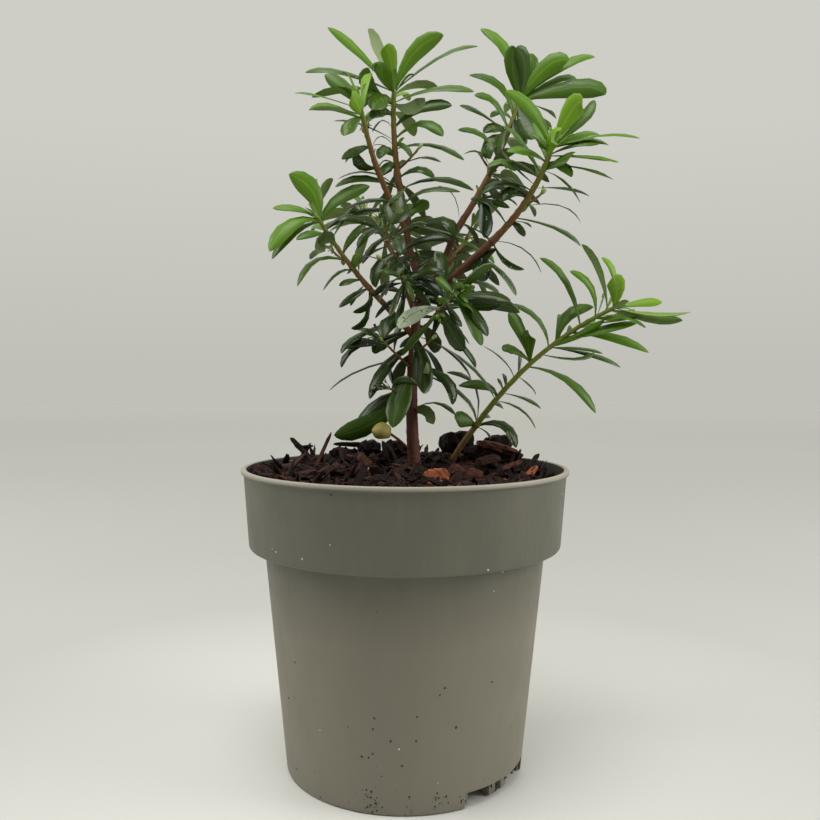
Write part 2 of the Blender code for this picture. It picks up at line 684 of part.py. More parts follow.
def ribs_of(leaves, steps):
    """Points of every leaf's rib at these steps, with the sideways and upper directions there.

    The rib sets off along first and turns towards pull by bend * u ** DROOPS_AS.
    """
    steps = list(steps)
    u = np.linspace(0, 1, LEAF_ARC + 1)
    turned_by = (leaves["bend"][:, None] * u**DROOPS_AS)[..., None] * leaves["pull"][:, None]
    ahead = unit(leaves["first"][:, None] + turned_by)
    step = (ahead[:, 1:] + ahead[:, :-1]) / 2 * (leaves["length"][:, None, None] / LEAF_ARC)
    run = np.concatenate([np.zeros_like(step[:, :1]), np.cumsum(step, 1)], 1)
    rib = leaves["root"][:, None] + run[:, steps]
    ahead = ahead[:, steps]
    axis = leaves["axis"][:, None]
    upper = unit(axis - (axis * ahead).sum(-1, keepdims=True) * ahead + 1e-6)
    side = np.cross(ahead, upper)
    cos, sin = (turn(leaves["roll"])[:, None, None] for turn in (np.cos, np.sin))
    return rib, cos * side + sin * upper, cos * upper - sin * side


def half_widths(leaves, steps):
    """Half of each leaf's width: u ** 0.8 * sqrt(1 - u ** 4), never under its stalk near the root."""
    u = np.array(steps) / LEAF_ARC
    outline = u**0.8 * np.sqrt(1 - u**4) / LEAF_FULLEST
    outline = np.maximum(outline, LEAF_STALK * (u < 0.5))
    return (leaves["width"][:, None] / 2 * outline)[..., None]


def edge_points(leaves):
    """Points over each leaf where its clearance is measured: (leaves, points, 3)."""
    rib, side, _ = ribs_of(leaves, LEAF_CHECKS)
    half = half_widths(leaves, LEAF_CHECKS)
    return np.concatenate([rib - side * half, rib, rib + side * half], 1)


def has_room(points, limbs, others):
    """Whether a leaf keeps to its mass's own space: over the mix, off the limbs and other masses."""
    if points[:, 2].min() < LOWEST_LEAF:
        return False
    if any(skin_gap(points, limb).min() < LIMB_CLEARANCE for limb in limbs):
        return False
    gaps = np.linalg.norm(points[:, None] - others[None], axis=-1)
    return gaps.min() >= LEAF_CLEARANCE


def fitted(leaves, limbs, others):
    """The leaves that have room, each at the first of LEAF_SHARES that fits; the rest are skipped."""
    shares = np.zeros(len(leaves["length"]))
    for share in LEAF_SHARES:
        shorter = {**leaves, "length": share * leaves["length"]}
        for index, points in enumerate(edge_points(shorter)):
            if not shares[index] and has_room(points, limbs, others):
                shares[index] = share
    leaves["length"] = shares * leaves["length"]
    return {key: value[shares > 0] for key, value in leaves.items()}


def grow_masses(limbs):
    """Shoots and kept leaves of every mass, in the order of MASSES."""
    stems = dict(limbs)
    grown = {}
    for name, own in MASSES.items():
        mass = {**SHOOT, **own}
        if "follows" in mass:
            mass["foot"] = LIMBS[mass["follows"]]["tip"]
        path = seated(mass, stems)
        rng = np.random.default_rng(mass["seed"])
        shoots = shoots_of(mass, path, rng)
        for number, (twig, radii, _, _) in enumerate(shoots):
            stems[f"{name}_{number}"] = (twig, radii)
        grown[name] = (mass, shoots, leaves_of(mass, shoots, rng))
    taken_up = np.full((1, 3), 1e6)
    masses = {}
    for name, (mass, shoots, leaves) in grown.items():
        foreign = [limb for key, limb in stems.items() if not key.startswith(f"{name}_")]
        started = len(leaves["length"])
        leaves = fitted(leaves, foreign, taken_up)
        taken_up = np.concatenate([taken_up, edge_points(leaves).reshape(-1, 3)])
        masses[name] = (shoots, leaves)
        print(f"{name}: {len(leaves['length'])} of {started} leaves")
    return masses


def leaf_points(leaves):
    """Sections of three points each, flat above and keeled below, and one point at the tip."""
    rib, side, upper = ribs_of(leaves, LEAF_RINGS)
    half = half_widths(leaves, LEAF_RINGS)
    keel = (LEAF_KEEL * leaves["length"])[:, None, None]
    sections = np.stack([rib - side * half, rib + side * half, rib - upper * keel], 2)[:, :-1]
    count = len(rib)
    return np.concatenate([sections.reshape(count, -1, 3), rib[:, -1:]], 1)


def leaf_faces():
    """The faces of one leaf: its root, a loft through the sections, and the tip."""
    sections = len(LEAF_RINGS) - 1
    tip = 3 * sections
    faces = [(0, 2, 1)]
    for ring in range(0, tip - 3, 3):
        for corner in range(3):
            following = (corner + 1) % 3
            faces.append((ring + corner, ring + following, ring + following + 3, ring + corner + 3))
    last = tip - 3
    faces.extend((last + corner, last + (corner + 1) % 3, tip) for corner in range(3))
    return faces


def is_closed(mesh):
    """Whether every edge of the mesh lies between two faces."""
    bm = bmesh.new()
    bm.from_mesh(mesh)
    closed = all(edge.is_manifold for edge in bm.edges)
    bm.free()
    return closed


def fuse(obj, pieces):
    """Joins the pieces of a collection to the object by one union, and removes them."""
    plain = obj.data
    for solver in ("EXACT", "MANIFOLD"):
        obj.data = plain.copy()
        add_boolean(obj, "UNION", pieces, solver)
        apply_modifiers(obj)
        drop_scraps(obj.data)
        if is_closed(obj.data):
            break
    for piece in list(pieces.objects):
        bpy.data.objects.remove(piece, do_unlink=True)
    bpy.data.collections.remove(pieces)


def drop_scraps(mesh):
    """Keeps the largest body of faces that share edges: loose scraps and sealed hollows go."""
    bm = bmesh.new()
    bm.from_mesh(mesh)
    bodies = []
    unseen = set(bm.faces)
    while unseen:
        front = [unseen.pop()]
        body = list(front)
        while front:
            near = {face for edge in front.pop().edges for face in edge.link_faces}
            fresh = near & unseen
            unseen -= fresh
            front.extend(fresh)
            body.extend(fresh)
        bodies.append(body)
    bodies.sort(key=len)
    for body in bodies[:-1]:
        bmesh.ops.delete(bm, geom=body, context="FACES")
    bm.to_mesh(mesh)
    bm.free()


def build_mass(name, shoots, leaves, collection):
    """One mass of foliage: its stem, twigs and leaves fused into one solid."""
    path, radii = shoots[0][:2]
    stem = add_tube(name, path, radii, collection, resolution=1)
    pieces = make_collection(f"{name}_pieces")
    for number, (twig, thick, _, _) in enumerate(shoots[1:]):
        add_tube(f"{name}_twig_{number}", twig, thick, pieces, resolution=0)
    faces = leaf_faces()
    for number, points in enumerate(leaf_points(leaves)):
        mesh = bpy.data.meshes.new(f"{name}_leaf_{number}")
        mesh.from_pydata((points * MM).tolist(), [], faces)
        add_object(mesh.name, mesh, pieces)
    fuse(stem, pieces)
    stem.data.materials.clear()
    stem.data.materials.append(make_material(name, "leaf"))
    return stem


def main():
    clear_scene()
    collection = make_collection(OBJECT_NAME)
    cutters = make_collection("cutters", hidden=True)
    ribs = make_collection("pot_ribs", hidden=True)
    build_pot(collection, cutters, ribs)
    build_mix(collection)
    limbs = limb_paths()
    build_limbs(limbs, collection)
    for name, (shoots, leaves) in grow_masses(limbs).items():
        build_mass(name, shoots, leaves, collection)
    plant = bpy.data.objects.new(OBJECT_NAME, None)
    collection.objects.link(plant)
    for obj in collection.objects:
        if obj is not plant:
            obj.parent = plant


main()
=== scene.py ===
# The looks of a potted daphne, a young evergreen shrub in its nursery pot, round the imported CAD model.
# Sizes are in millimetres until a mesh is made. X is to the right, Y away from the front, Z up,
# and the origin lies under the middle of the pot. Trunk, boughs, shoots and leaves grow by the same
# rule and seeds as the CAD's, and are then carried on to finer twigs, buds and small leaves.

import math

import bpy
import numpy as np
from mathutils import Matrix, Vector


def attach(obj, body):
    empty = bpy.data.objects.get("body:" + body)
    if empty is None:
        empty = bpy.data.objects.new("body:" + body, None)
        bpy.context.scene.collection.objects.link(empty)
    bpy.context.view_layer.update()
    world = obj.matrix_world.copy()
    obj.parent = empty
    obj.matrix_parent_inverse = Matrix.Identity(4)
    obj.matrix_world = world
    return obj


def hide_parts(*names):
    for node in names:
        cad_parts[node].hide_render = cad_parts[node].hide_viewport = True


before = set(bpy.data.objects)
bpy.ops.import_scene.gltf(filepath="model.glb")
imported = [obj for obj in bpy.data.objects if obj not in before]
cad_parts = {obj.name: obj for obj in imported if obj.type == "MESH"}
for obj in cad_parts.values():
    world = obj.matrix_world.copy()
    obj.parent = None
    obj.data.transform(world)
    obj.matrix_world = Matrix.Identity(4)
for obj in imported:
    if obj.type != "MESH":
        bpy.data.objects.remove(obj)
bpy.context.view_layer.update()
mm = 0.001
goldenTurn = math.radians(137.508)
print("frame loaded,", len(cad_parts), "nodes")


# Meshes
def addObject(name, data):
    made = bpy.data.objects.new(name, data)
    bpy.context.scene.collection.objects.link(made)
    return made


def addPiece(name, points, faces, skins, nodes=(), faceSkins=None, smooth=True, sharp=None):
    # One finished piece in millimetres: faces are arrays of corners, one array for each kind of face,
    # and faceSkins holds for each face which of the skins it wears. It rides with the plant.
    loops = np.concatenate([kind.ravel() for kind in faces]).astype(np.int32)
    sizes = np.concatenate([np.full(len(kind), kind.shape[1]) for kind in faces])
    mesh = bpy.data.meshes.new(name)
    mesh.vertices.add(len(points))
    mesh.vertices.foreach_set("co", (points * mm).astype(np.float32).ravel())
    mesh.loops.add(len(loops))
    mesh.loops.foreach_set("vertex_index", loops)
    mesh.polygons.add(len(sizes))
    mesh.polygons.foreach_set("loop_start", (np.cumsum(sizes) - sizes).astype(np.int32))
    mesh.polygons.foreach_set("use_smooth", np.full(len(sizes), smooth))
    if faceSkins is not None:
        mesh.polygons.foreach_set("material_index", faceSkins.astype(np.int32))
    for skin in skins:
        mesh.materials.append(skin)
    mesh.update(calc_edges=True)
    mesh.validate()
    if sharp:
        mesh.set_sharp_from_angle(angle=math.radians(sharp))
    piece = addObject(name, mesh)
    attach(piece, "root")
    if nodes:
        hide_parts(*nodes)
    return piece


def fanFaces(ring, middle, flip=False):
    # Triangles from a closed ring of points to the one in its middle
    following = np.roll(ring, -1)
    pair = (following, ring) if flip else (ring, following)
    return np.stack([*pair, np.full(len(ring), middle)], 1)


def tubeFaces(rows, columns, flip=False):
    # Quads of a tube of rows by columns points, numbered row by row, and the two fans that close its
    # first and last ring on the two points after them
    row = np.arange(rows - 1)[:, None] * columns
    ring = np.arange(columns)
    following = (ring + 1) % columns
    corners = (row + ring, row + following, row + columns + following, row + columns + ring)
    quads = np.stack(corners, -1).reshape(-1, 4)
    first = fanFaces(ring, rows * columns, not flip)
    last = fanFaces(ring + (rows - 1) * columns, rows * columns + 1, flip)
    return quads[:, ::-1] if flip else quads, np.concatenate([first, last])


def repeated(faces, count, pointsEach):
    # The same faces for each of count copies that have pointsEach points
    return (faces[None] + np.arange(count)[:, None, None] * pointsEach).reshape(-1, faces.shape[1])


# Directions
def unit(vectors):
    return vectors / np.linalg.norm(vectors, axis=-1, keepdims=True)


def turns(count):
    # Angles of places evenly round
    return np.linspace(0, math.tau, count, endpoint=False)


def around(turn, side, above):
    # The direction at cos(turn) side + sin(turn) above
    return np.cos(turn)[..., None] * side + np.sin(turn)[..., None] * above


def rolled(side, above, turn):
    # Two directions square to each other, both turned from the first towards the second
    return around(turn, side, above), around(turn, above, -side)


def across(axis):
    # Two directions square to each axis: a level one and the one above it
    side = np.cross(axis, [0.0, 0.0, 1.0])
    steep = np.linalg.norm(side, axis=-1, keepdims=True) < 0.2
    side = unit(np.where(steep, np.cross(axis, [0.0, 1.0, 0.0]), side))
    return side, np.cross(side, axis)


# Materials
def nodesOf(name, colour, roughness, specular=None):
    # A Principled material and the two things that its pattern needs: node tree and shader
    skin = bpy.data.materials.new(name)
    skin.use_nodes = True
    tree = skin.node_tree
    shader = tree.nodes["Principled BSDF"]
    shader.inputs["Base Color"].default_value = (*colour, 1.0)
    shader.inputs["Roughness"].default_value = roughness
    if specular:
        shader.inputs["Specular IOR Level"].default_value = specular
    skin.diffuse_color = (*colour, 1.0)
    return skin, tree, shader


def addNode(tree, kind, inputs=(), **settings):
    # A node with these settings; each of its inputs is linked to a socket or takes a plain value
    node = tree.nodes.new(f"ShaderNode{kind}")
    for name, value in settings.items():
        setattr(node, name, value)
    for name, value in dict(inputs).items():
        if isinstance(value, bpy.types.NodeSocket):
            tree.links.new(value, node.inputs[name])
        else:
            node.inputs[name].default_value = value
    return node


def addNoise(tree, scale, detail=4.0, roughness=0.55, stretch=(1, 1, 1)):
    # Noise over the object's own coordinates; scale counts its waves in a metre
    place = addNode(tree, "TexCoord").outputs["Object"]
    place = addNode(tree, "Mapping", {"Scale": stretch, "Vector": place}).outputs["Vector"]
    inputs = {"Scale": scale, "Detail": detail, "Roughness": roughness, "Vector": place}
    return addNode(tree, "TexNoise", inputs).outputs["Fac"]


def addPlace(tree, axis, source="Object"):
    # How far along an axis each point lies
    place = addNode(tree, "TexCoord").outputs[source]
    return addNode(tree, "SeparateXYZ", {"Vector": place}).outputs[axis]


def addRamp(tree, factor, stops):
    # A smooth run of colours over a factor; each stop is a place and a colour
    ramp = addNode(tree, "ValToRGB", {"Fac": factor})
    elements = ramp.color_ramp.elements
    while len(elements) < len(stops):
        elements.new(0.5)
    for element, (place, colour) in zip(elements, stops):
        element.position = place
        element.color = (*colour, 1.0)
    return ramp.outputs["Color"]


def addRange(tree, factor, low, high, fromLow=0.3, fromHigh=0.7):
    # The factor's middle range spread over low to high
    inputs = {"Value": factor, "From Min": fromLow, "From Max": fromHigh, "To Min": low, "To Max": high}
    return addNode(tree, "MapRange", inputs).outputs["Result"]


def addMath(tree, kind, first, second):
    # One sum of two sockets or numbers
    return addNode(tree, "Math", {0: first, 1: second}, operation=kind).outputs["Value"]


def addMix(tree, factor, first, second):
    # A colour between two others; each side is a socket or a colour
    first, second = ((*side, 1.0) if isinstance(side, tuple) else side for side in (first, second))
    inputs = {"Factor": factor, "A": first, "B": second}
    return addNode(tree, "Mix", inputs, data_type="RGBA").outputs["Result"]


def addBump(tree, shader, height, strength, distance):
    # Relief in the light: distance is its depth in millimetres
    bump = addNode(tree, "Bump", {"Strength": strength, "Distance": distance * mm, "Height": height})
    tree.links.new(bump.outputs["Normal"], shader.inputs["Normal"])


# Limbs as in the CAD: middles of foot and tip, bow of the middle, radii of both ends. Ripe is how ripe
# the bark is at both ends, 0 old brown to 1 young green, and slimmer the radii that the bark takes
# where the photograph shows a limb slimmer than its solid.
limbs = {
    "trunk": dict(
        foot=(4.0, 6.0, 117.4), tip=(6.1, 4.0, 193.2), bow=(-4.8, 0, 0), radii=(2.9, 2.1),
        ripe=(0.0, 0.08), slimmer=(2.7, 1.6), ground=True,
    ),
    "bough_left_leader": dict(
        foot=(6.1, 4.0, 193.2), tip=(-0.1, 4.0, 219.2), bow=(-2.8, 0, 0), radii=(1.75, 1.45),
        follows="trunk", ripe=(0.1, 0.2), slimmer=(1.6, 1.3),
    ),
    "bough_left_side": dict(
        foot=(0.2, 4.0, 214.0), tip=(-11.6, -3.0, 237.0), bow=(-1.0, 0, 0), radii=(1.15, 1.1),
        ripe=(0.35, 0.5),
    ),
    "bough_centre_leader": dict(
        foot=(5.4, 4.2, 181.0), tip=(19.8, 6.0, 214.1), bow=(1.2, 0, -1.0), radii=(1.6, 1.4),
        ripe=(0.1, 0.28),
    ),
    "bough_right_leader": dict(
        foot=(5.0, 4.0, 182.5), tip=(32.8, -12.0, 207.4), bow=(0, 0, 0), radii=(1.6, 1.4),
        ripe=(0.12, 0.3),
    ),
    "bough_left_low": dict(
        foot=(3.7, 5.0, 171.5), tip=(-14.3, -2.0, 190.2), bow=(0, 0, 0), radii=(1.3, 1.1),
        ripe=(0.28, 0.6),
    ),
    "bough_right_basal": dict(
        foot=(19.2, 22.0, 118.1), tip=(29.8, 19.6, 134.5), bow=(-0.4, 0, 0.4), radii=(1.3, 1.25),
        ripe=(0.22, 0.8), ground=True,
    ),
    "bough_back_left": dict(
        foot=(4.6, 4.3, 179.0), tip=(-3.5, 30.0, 204.9), bow=(0, 0, -2.0), radii=(1.3, 1.1),
        ripe=(0.12, 0.3),
    ),
    "bough_back_right": dict(
        foot=(5.6, 4.0, 184.0), tip=(18.3, 32.0, 204.0), bow=(0, 0, -2.0), radii=(1.3, 1.1),
        ripe=(0.12, 0.3),
    ),
}
# Masses of foliage as in the CAD: what the shoots share
shoot = dict(
    slim=0.23,  # width over length of a leaf
    shrink=0.4,  # of length, from the tip of the shoot to its foot
    roll=35.0,  # degrees, most twist of a leaf about its rib
    twigs=0,
    twigLength=11.0,
    twigRadii=(0.75, 0.6),
    twigLeaves=8,
    fine=0.5,  # share of the finer leaves that the mass keeps
    ages=(6.0, 5.2, 6.2),
)
# What each mass has of its own. Size is the length of a full leaf, crowd how much closer the leaves
# stand towards the tip, open their degrees from the shoot and bend their droop at its tip and foot,
# and phase the turn of the first leaf. Ripe is as for the limbs. Ages are how far down the shoot a
# leaf is fully ripe, and the stage that the shoot starts and ends at. Where the photograph's leaves are
# placed, keep says which of the rule's stay: those this far below the tip, those that stand at least
# this far to the back, and those nearer to the tip than this. A thin stem is drawn as a twig.
masses = {
    "foliage_left_side": dict(
        follows="bough_left_side", tip=(-17.9, -13.8, 260.1), bow=(-1.0, 0, 0), radii=(1.05, 0.8),
        leaves=20, size=25.0, shrink=0.33, crowd=1.04, open=(25.0, 108.0), bend=(0.28, 0.82),
        phase=0.61, seed=8297, ripe=(0.5, 0.95), ages=(38.0, 1.2, 4.6), keep=(24.0, 0.45, 0.0),
    ),
    "foliage_trunk_left": dict(
        foot=(3.0, 5.0, 158.0), tip=(-9.7, -7.6, 170.1), bow=(0, 0, 0), radii=(0.8, 0.6), leaves=11,
        size=29.0, shrink=0.26, crowd=1.0, open=(95.0, 108.0), bend=(0.41, 0.89), phase=1.45,
        seed=782, ripe=(0.15, 0.8), keep=(99.0, 0.3, 4.0), thinStem=True,
    ),
    "foliage_trunk_right": dict(
        foot=(3.3, 5.0, 164.0), tip=(11.0, -4.0, 171.0), bow=(0, 0, 0), radii=(0.8, 0.6), leaves=9,
        size=27.0, shrink=0.47, crowd=1.14, open=(80.0, 106.0), bend=(1.0, 1.84), phase=5.58,
        seed=2912, ripe=(0.15, 0.8), keep=(99.0, 0.3, 5.0), thinStem=True,
    ),
    "foliage_trunk_low": dict(
        foot=(1.9, 5.4, 147.0), tip=(-7.0, -5.0, 151.0), bow=(0, 0, 0), radii=(0.8, 0.6), leaves=7,
        size=27.0, shrink=0.27, crowd=1.17, open=(92.0, 116.0), bend=(0.77, 1.61), phase=0.12,
        seed=5656, ripe=(0.15, 0.8), keep=(99.0, 0.3, 4.0), thinStem=True,
    ),
    "foliage_left_leader": dict(
        follows="bough_left_leader", tip=(-5.2, 8.0, 270.4), bow=(-3.6, -1.0, 0), radii=(1.4, 0.9),
        leaves=40, size=31.0, shrink=0.42, crowd=1.62, open=(38.0, 106.0), bend=(0.17, 1.34),
        phase=4.61, twigs=1, seed=4280, ripe=(0.2, 0.95), ages=(46.0, 1.0, 5.6), fine=0.45,
        keep=(44.0, 0.45, 0.0),
    ),
    "foliage_centre_leader": dict(
        follows="bough_centre_leader", tip=(46.8, 17.8, 270.4), bow=(4.0, -1.0, -2.0),
        radii=(1.35, 0.9), leaves=32, size=35.0, shrink=0.38, crowd=1.27, open=(31.0, 70.0),
        bend=(0.39, 1.13), phase=0.19, twigs=1, seed=9487, ripe=(0.3, 0.95), ages=(48.0, 1.3, 5.6),
        keep=(30.0, 0.45, 0.0),
    ),
    "foliage_right_leader": dict(
        follows="bough_right_leader", tip=(53.6, -23.6, 240.2), bow=(5.0, 0, -2.0),
        radii=(1.35, 0.9), leaves=34, size=31.0, shrink=0.5, crowd=1.35, open=(29.0, 78.0),
        bend=(0.21, 0.63), phase=0.26, twigs=1, seed=8577, ripe=(0.35, 1.0), ages=(40.0, 1.2, 5.4),
        keep=(32.0, 0.45, 0.0),
    ),
    "foliage_left_low": dict(
        follows="bough_left_low", tip=(-34.3, -8.3, 217.1), bow=(-1.0, 0, -1.5), radii=(1.05, 0.75),
        leaves=26, size=28.0, crowd=1.38, open=(49.0, 83.0), bend=(0.29, 0.5), phase=2.28, twigs=1,
        seed=1772, ripe=(0.45, 1.0), ages=(32.0, 1.4, 4.8), keep=(40.0, 0.6, 0.0),
    ),
    "foliage_right_basal": dict(
        follows="bough_right_basal", tip=(85.3, 8.9, 183.9), bow=(-5.2, 0, 9.0), radii=(1.2, 0.8),
        leaves=34, size=28.0, shrink=0.5, crowd=1.5, open=(33.0, 70.0), bend=(0.15, 0.51),
        phase=5.64, seed=8621, ripe=(0.84, 1.0), ages=(44.0, 1.4, 4.4), fine=0.75,
        keep=(99.0, 0.7, 0.0),
    ),
    "foliage_heart_left": dict(
        foot=(5.0, 4.0, 176.0), tip=(-8.4, -23.0, 212.8), bow=(0, 0, 0), radii=(0.95, 0.7),
        leaves=16, size=26.0, shrink=0.24, crowd=1.19, open=(42.0, 79.0), bend=(0.39, 1.21),
        phase=0.79, twigs=2, seed=6085, ripe=(0.3, 0.7), ages=(16.0, 3.6, 6.0), fine=0.8,
        thinStem=True,
    ),
    "foliage_heart_right": dict(
        foot=(4.2, 4.5, 170.0), tip=(18.3, -30.0, 186.0), bow=(0, 0, 3.0), radii=(0.95, 0.7),
        leaves=18, size=31.0, shrink=0.26, crowd=1.19, open=(44.0, 122.0), bend=(0.15, 0.54),
        phase=0.02, twigs=2, seed=8999, ripe=(0.3, 0.9), ages=(16.0, 3.0, 6.0), fine=0.8,
        keep=(24.0, 0.1, 0.0), thinStem=True,
    ),
    "foliage_back_left": dict(
        follows="bough_back_left", tip=(-18.4, 59.4, 233.2), bow=(0, 0, 0), radii=(1.05, 0.75),
        leaves=21, size=28.0, shrink=0.15, crowd=1.24, open=(53.0, 93.0), bend=(0.31, 0.97),
        phase=2.65, twigs=2, seed=3324, ripe=(0.3, 0.95), ages=(40.0, 1.5, 5.6),
    ),
    "foliage_back_right": dict(
        follows="bough_back_right", tip=(33.5, 61.0, 226.9), bow=(0, 0, 0), radii=(1.05, 0.75),
        leaves=23, size=32.0, shrink=0.22, crowd=1.0, open=(25.0, 102.0), bend=(0.15, 0.77),
        phase=1.27, twigs=2, seed=3845, ripe=(0.3, 0.95), ages=(40.0, 1.5, 5.6),
    ),
}
growth = dict(
    gap=0.3,  # air at each fork
    firstAge=0.3,
    rootSink=1.0,
    waver=0.16,
    young=(0.6, 0.13),
    folded=(0.35, 0.14),
    pull=(0.35, -0.55, -0.75),  # outwards, along the shoot and up
    opensAs=0.55,  # powers of age
    shrinksAs=1.5,
    droopsAs=1.3,
    varyOpen=9.0,
    varyLength=0.13,
    varyWidth=0.12,
    varyBend=0.3,
    twigSpan=(0.22, 0.4),
    twigLowest=0.25,
    twigLean=(52.0, 10.0),
    twigSize=0.72,
    twigSag=0.1,
    twigPhase=1.7,
    twigTurn=1.1,
    twigVaries=(0.05, 0.5, 0.2),
    fullest=0.657,
    stalk=0.16,
    checks=(4, 8, 13, 18, 23, 28, 32, 36, 40),  # fortieths of a leaf
    limbClearance=0.7,
    leafClearance=1.9,
    lowest=122.0,
    shares=(1.0, 0.8, 0.62),
    pathSteps=161,
    twigSteps=25,
    ribSteps=41,
    rimSteps=12,
)
fineLeaves = dict(shorter=0.72, fromTip=7.0, roll=45.0)  # finer leaves between those of the CAD
seeds = dict(
    fine=700, limbs=1000, limbScars=50, shoots=1100, sprigStems=1900, budStalk=1990, buds=600,
    axils=300, stages=200, specks=77, lime=909, mix=401,
)


# The rule of growth, as in the CAD
def arc(foot, tip, bow, count=growth["pathSteps"]):
    # P(t) = (1-t)^2 foot + 2t(1-t)(middle + bow) + t^2 tip
    foot, tip, bow = (np.array(point, float) for point in (foot, tip, bow))
    t = np.linspace(0.0, 1.0, count)[:, None]
    return (1 - t) ** 2 * foot + 2 * t * (1 - t) * ((foot + tip) / 2 + bow) + t**2 * tip


def lengthOf(path):
    return np.linalg.norm(np.diff(path, axis=0), axis=1).sum()


def taken(path, distances):
    # Points of the path at these distances from its foot
    steps = np.linalg.norm(np.diff(path, axis=0), axis=1)
    along = np.concatenate([[0.0], np.cumsum(steps)])
    return np.stack([np.interp(distances, along, path[:, axis]) for axis in range(3)], 1)


def skinGap(points, limb):
    # How far each point is from the skin of a tapering limb
    path, radii = limb
    start, edge = path[:-1], np.diff(path, axis=0)
    share = ((points[:, None] - start) * edge).sum(-1) / (edge * edge).sum(-1)
    share = np.clip(share, 0, 1)
    near = start + share[..., None] * edge
    radius = radii[0] + (radii[1] - radii[0]) * (np.arange(len(start)) + share) / len(start)
    return (np.linalg.norm(points[:, None] - near, axis=-1) - radius).min(1)


def seated(limb, before):
    # The limb's path from where the rim of its foot is clear of all the limbs before it,
    # and wholly beyond the flat end of the one that it follows
    path = arc(limb["foot"], limb["tip"], limb["bow"])
    carrier = limb.get("follows")
    others = [other for name, other in before.items() if name != carrier]
    ahead = unit(np.gradient(path, axis=0))
    turn = turns(growth["rimSteps"])
    for first in range(len(path) // 2):
        side, above = across(ahead[first])
        rim = path[first] + limb["radii"][0] * around(turn, side, above)
        gaps = [skinGap(rim, other).min() for other in others]
        if carrier:
            end = before[carrier][0]
            gaps.append(((rim - end[-1]) @ unit(end[-1] - end[-2])).min())
        if min(gaps) >= growth["gap"]:
            return path[first:]
    raise ValueError("a limb has no room at its foot")


def limbPaths():
    # Path and radii of each limb, seated on the limbs before it
    grown = {}
    for name, limb in limbs.items():
        if limb.get("ground"):
            path = arc(limb["foot"], limb["tip"], limb["bow"])
        else:
            path = seated(limb, grown)
        grown[name] = (path, limb["radii"])
    return grown


def shootsOf(mass, path, rng):
    # The stem of a mass and its seeded side twigs: path, radii, number of leaves and their size
    shoots = [(path, mass["radii"], mass["leaves"], mass["size"])]
    total = lengthOf(path)
    low, span = growth["twigSpan"]
    varies = growth["twigVaries"]
    for number in range(mass["twigs"]):
        draw = rng.random(4) * 2 - 1
        share = low + span * (number + 0.5) / mass["twigs"]
        place = total * (share + varies[0] * draw[0])
        root = taken(path, [place])[0]
        axis = unit(taken(path, [place + 0.5])[0] - taken(path, [place - 0.5])[0])
        side, above = across(axis)
        turn = growth["twigPhase"] * mass["phase"] + goldenTurn * (number + 1) + varies[1] * draw[1]
        outward = math.cos(turn) * side + math.sin(turn) * above
        lean = math.radians(growth["twigLean"][0] + growth["twigLean"][1] * draw[2])
        length = mass["twigLength"] * (1 + varies[2] * draw[3])
        tip = root + length * (math.cos(lean) * axis + math.sin(lean) * outward)
        twig = arc(root, tip, (0, 0, -growth["twigSag"] * length), growth["twigSteps"])
        shoots.append((twig, mass["twigRadii"], mass["twigLeaves"], growth["twigSize"] * mass["size"]))
    return shoots


def leavesOf(mass, shoots, rng, shift=0.0):
    # Leaf i of a shoot stands at length * age ** crowd below its tip, i golden turns round it,
    # and with age it opens wider, droops more and is shorter
    grown = []
    for number, (path, _, count, size) in enumerate(shoots):
        draw = rng.random((count, 6)) * 2 - 1
        index = np.arange(count) + shift
        age = (index + growth["firstAge"]) / count
        total = lengthOf(path)
        lowest = max(growth["rootSink"], growth["twigLowest"] * total if number else 0.0)
        reach = total - growth["rootSink"]
        place = reach - (reach - lowest) * age ** mass["crowd"]
        ahead = np.minimum(place + 1, total)
        axis = unit(taken(path, ahead) - taken(path, ahead - 2))
        side, above = across(axis)
        turn = mass["phase"] + growth["twigTurn"] * number + goldenTurn * index
        turn = turn + growth["waver"] * draw[:, 0]
        outward = around(turn, side, above)
        low, high = mass["open"]
        spread = low + (high - low) * age ** growth["opensAs"] + growth["varyOpen"] * draw[:, 1]
        folded = growth["folded"][0] + growth["folded"][1] * index
        spread = (np.radians(spread) * np.minimum(1.0, folded))[:, None]
        length = size * (1 - mass["shrink"] * age ** growth["shrinksAs"])
        length = length * (1 + growth["varyLength"] * draw[:, 2])
        length = length * np.minimum(1.0, growth["young"][0] + growth["young"][1] * index)
        low, high = mass["bend"]
        outPull, alongPull, upPull = growth["pull"]
        grown.append(
            dict(
                root=taken(path, place),
                axis=axis,
                outward=outward,
                first=np.cos(spread) * axis + np.sin(spread) * outward,
                pull=unit(outPull * outward + alongPull * axis + [0.0, 0.0, upPull]),
                length=length,
                width=length * mass["slim"] * (1 + growth["varyWidth"] * draw[:, 3]),
                bend=low + (high - low) * age + growth["varyBend"] * draw[:, 4],
                roll=math.radians(mass["roll"]) * draw[:, 5],
                age=age,
                below=total - place,
                shoot=np.full(count, number),
            )
        )
    return gathered(grown)


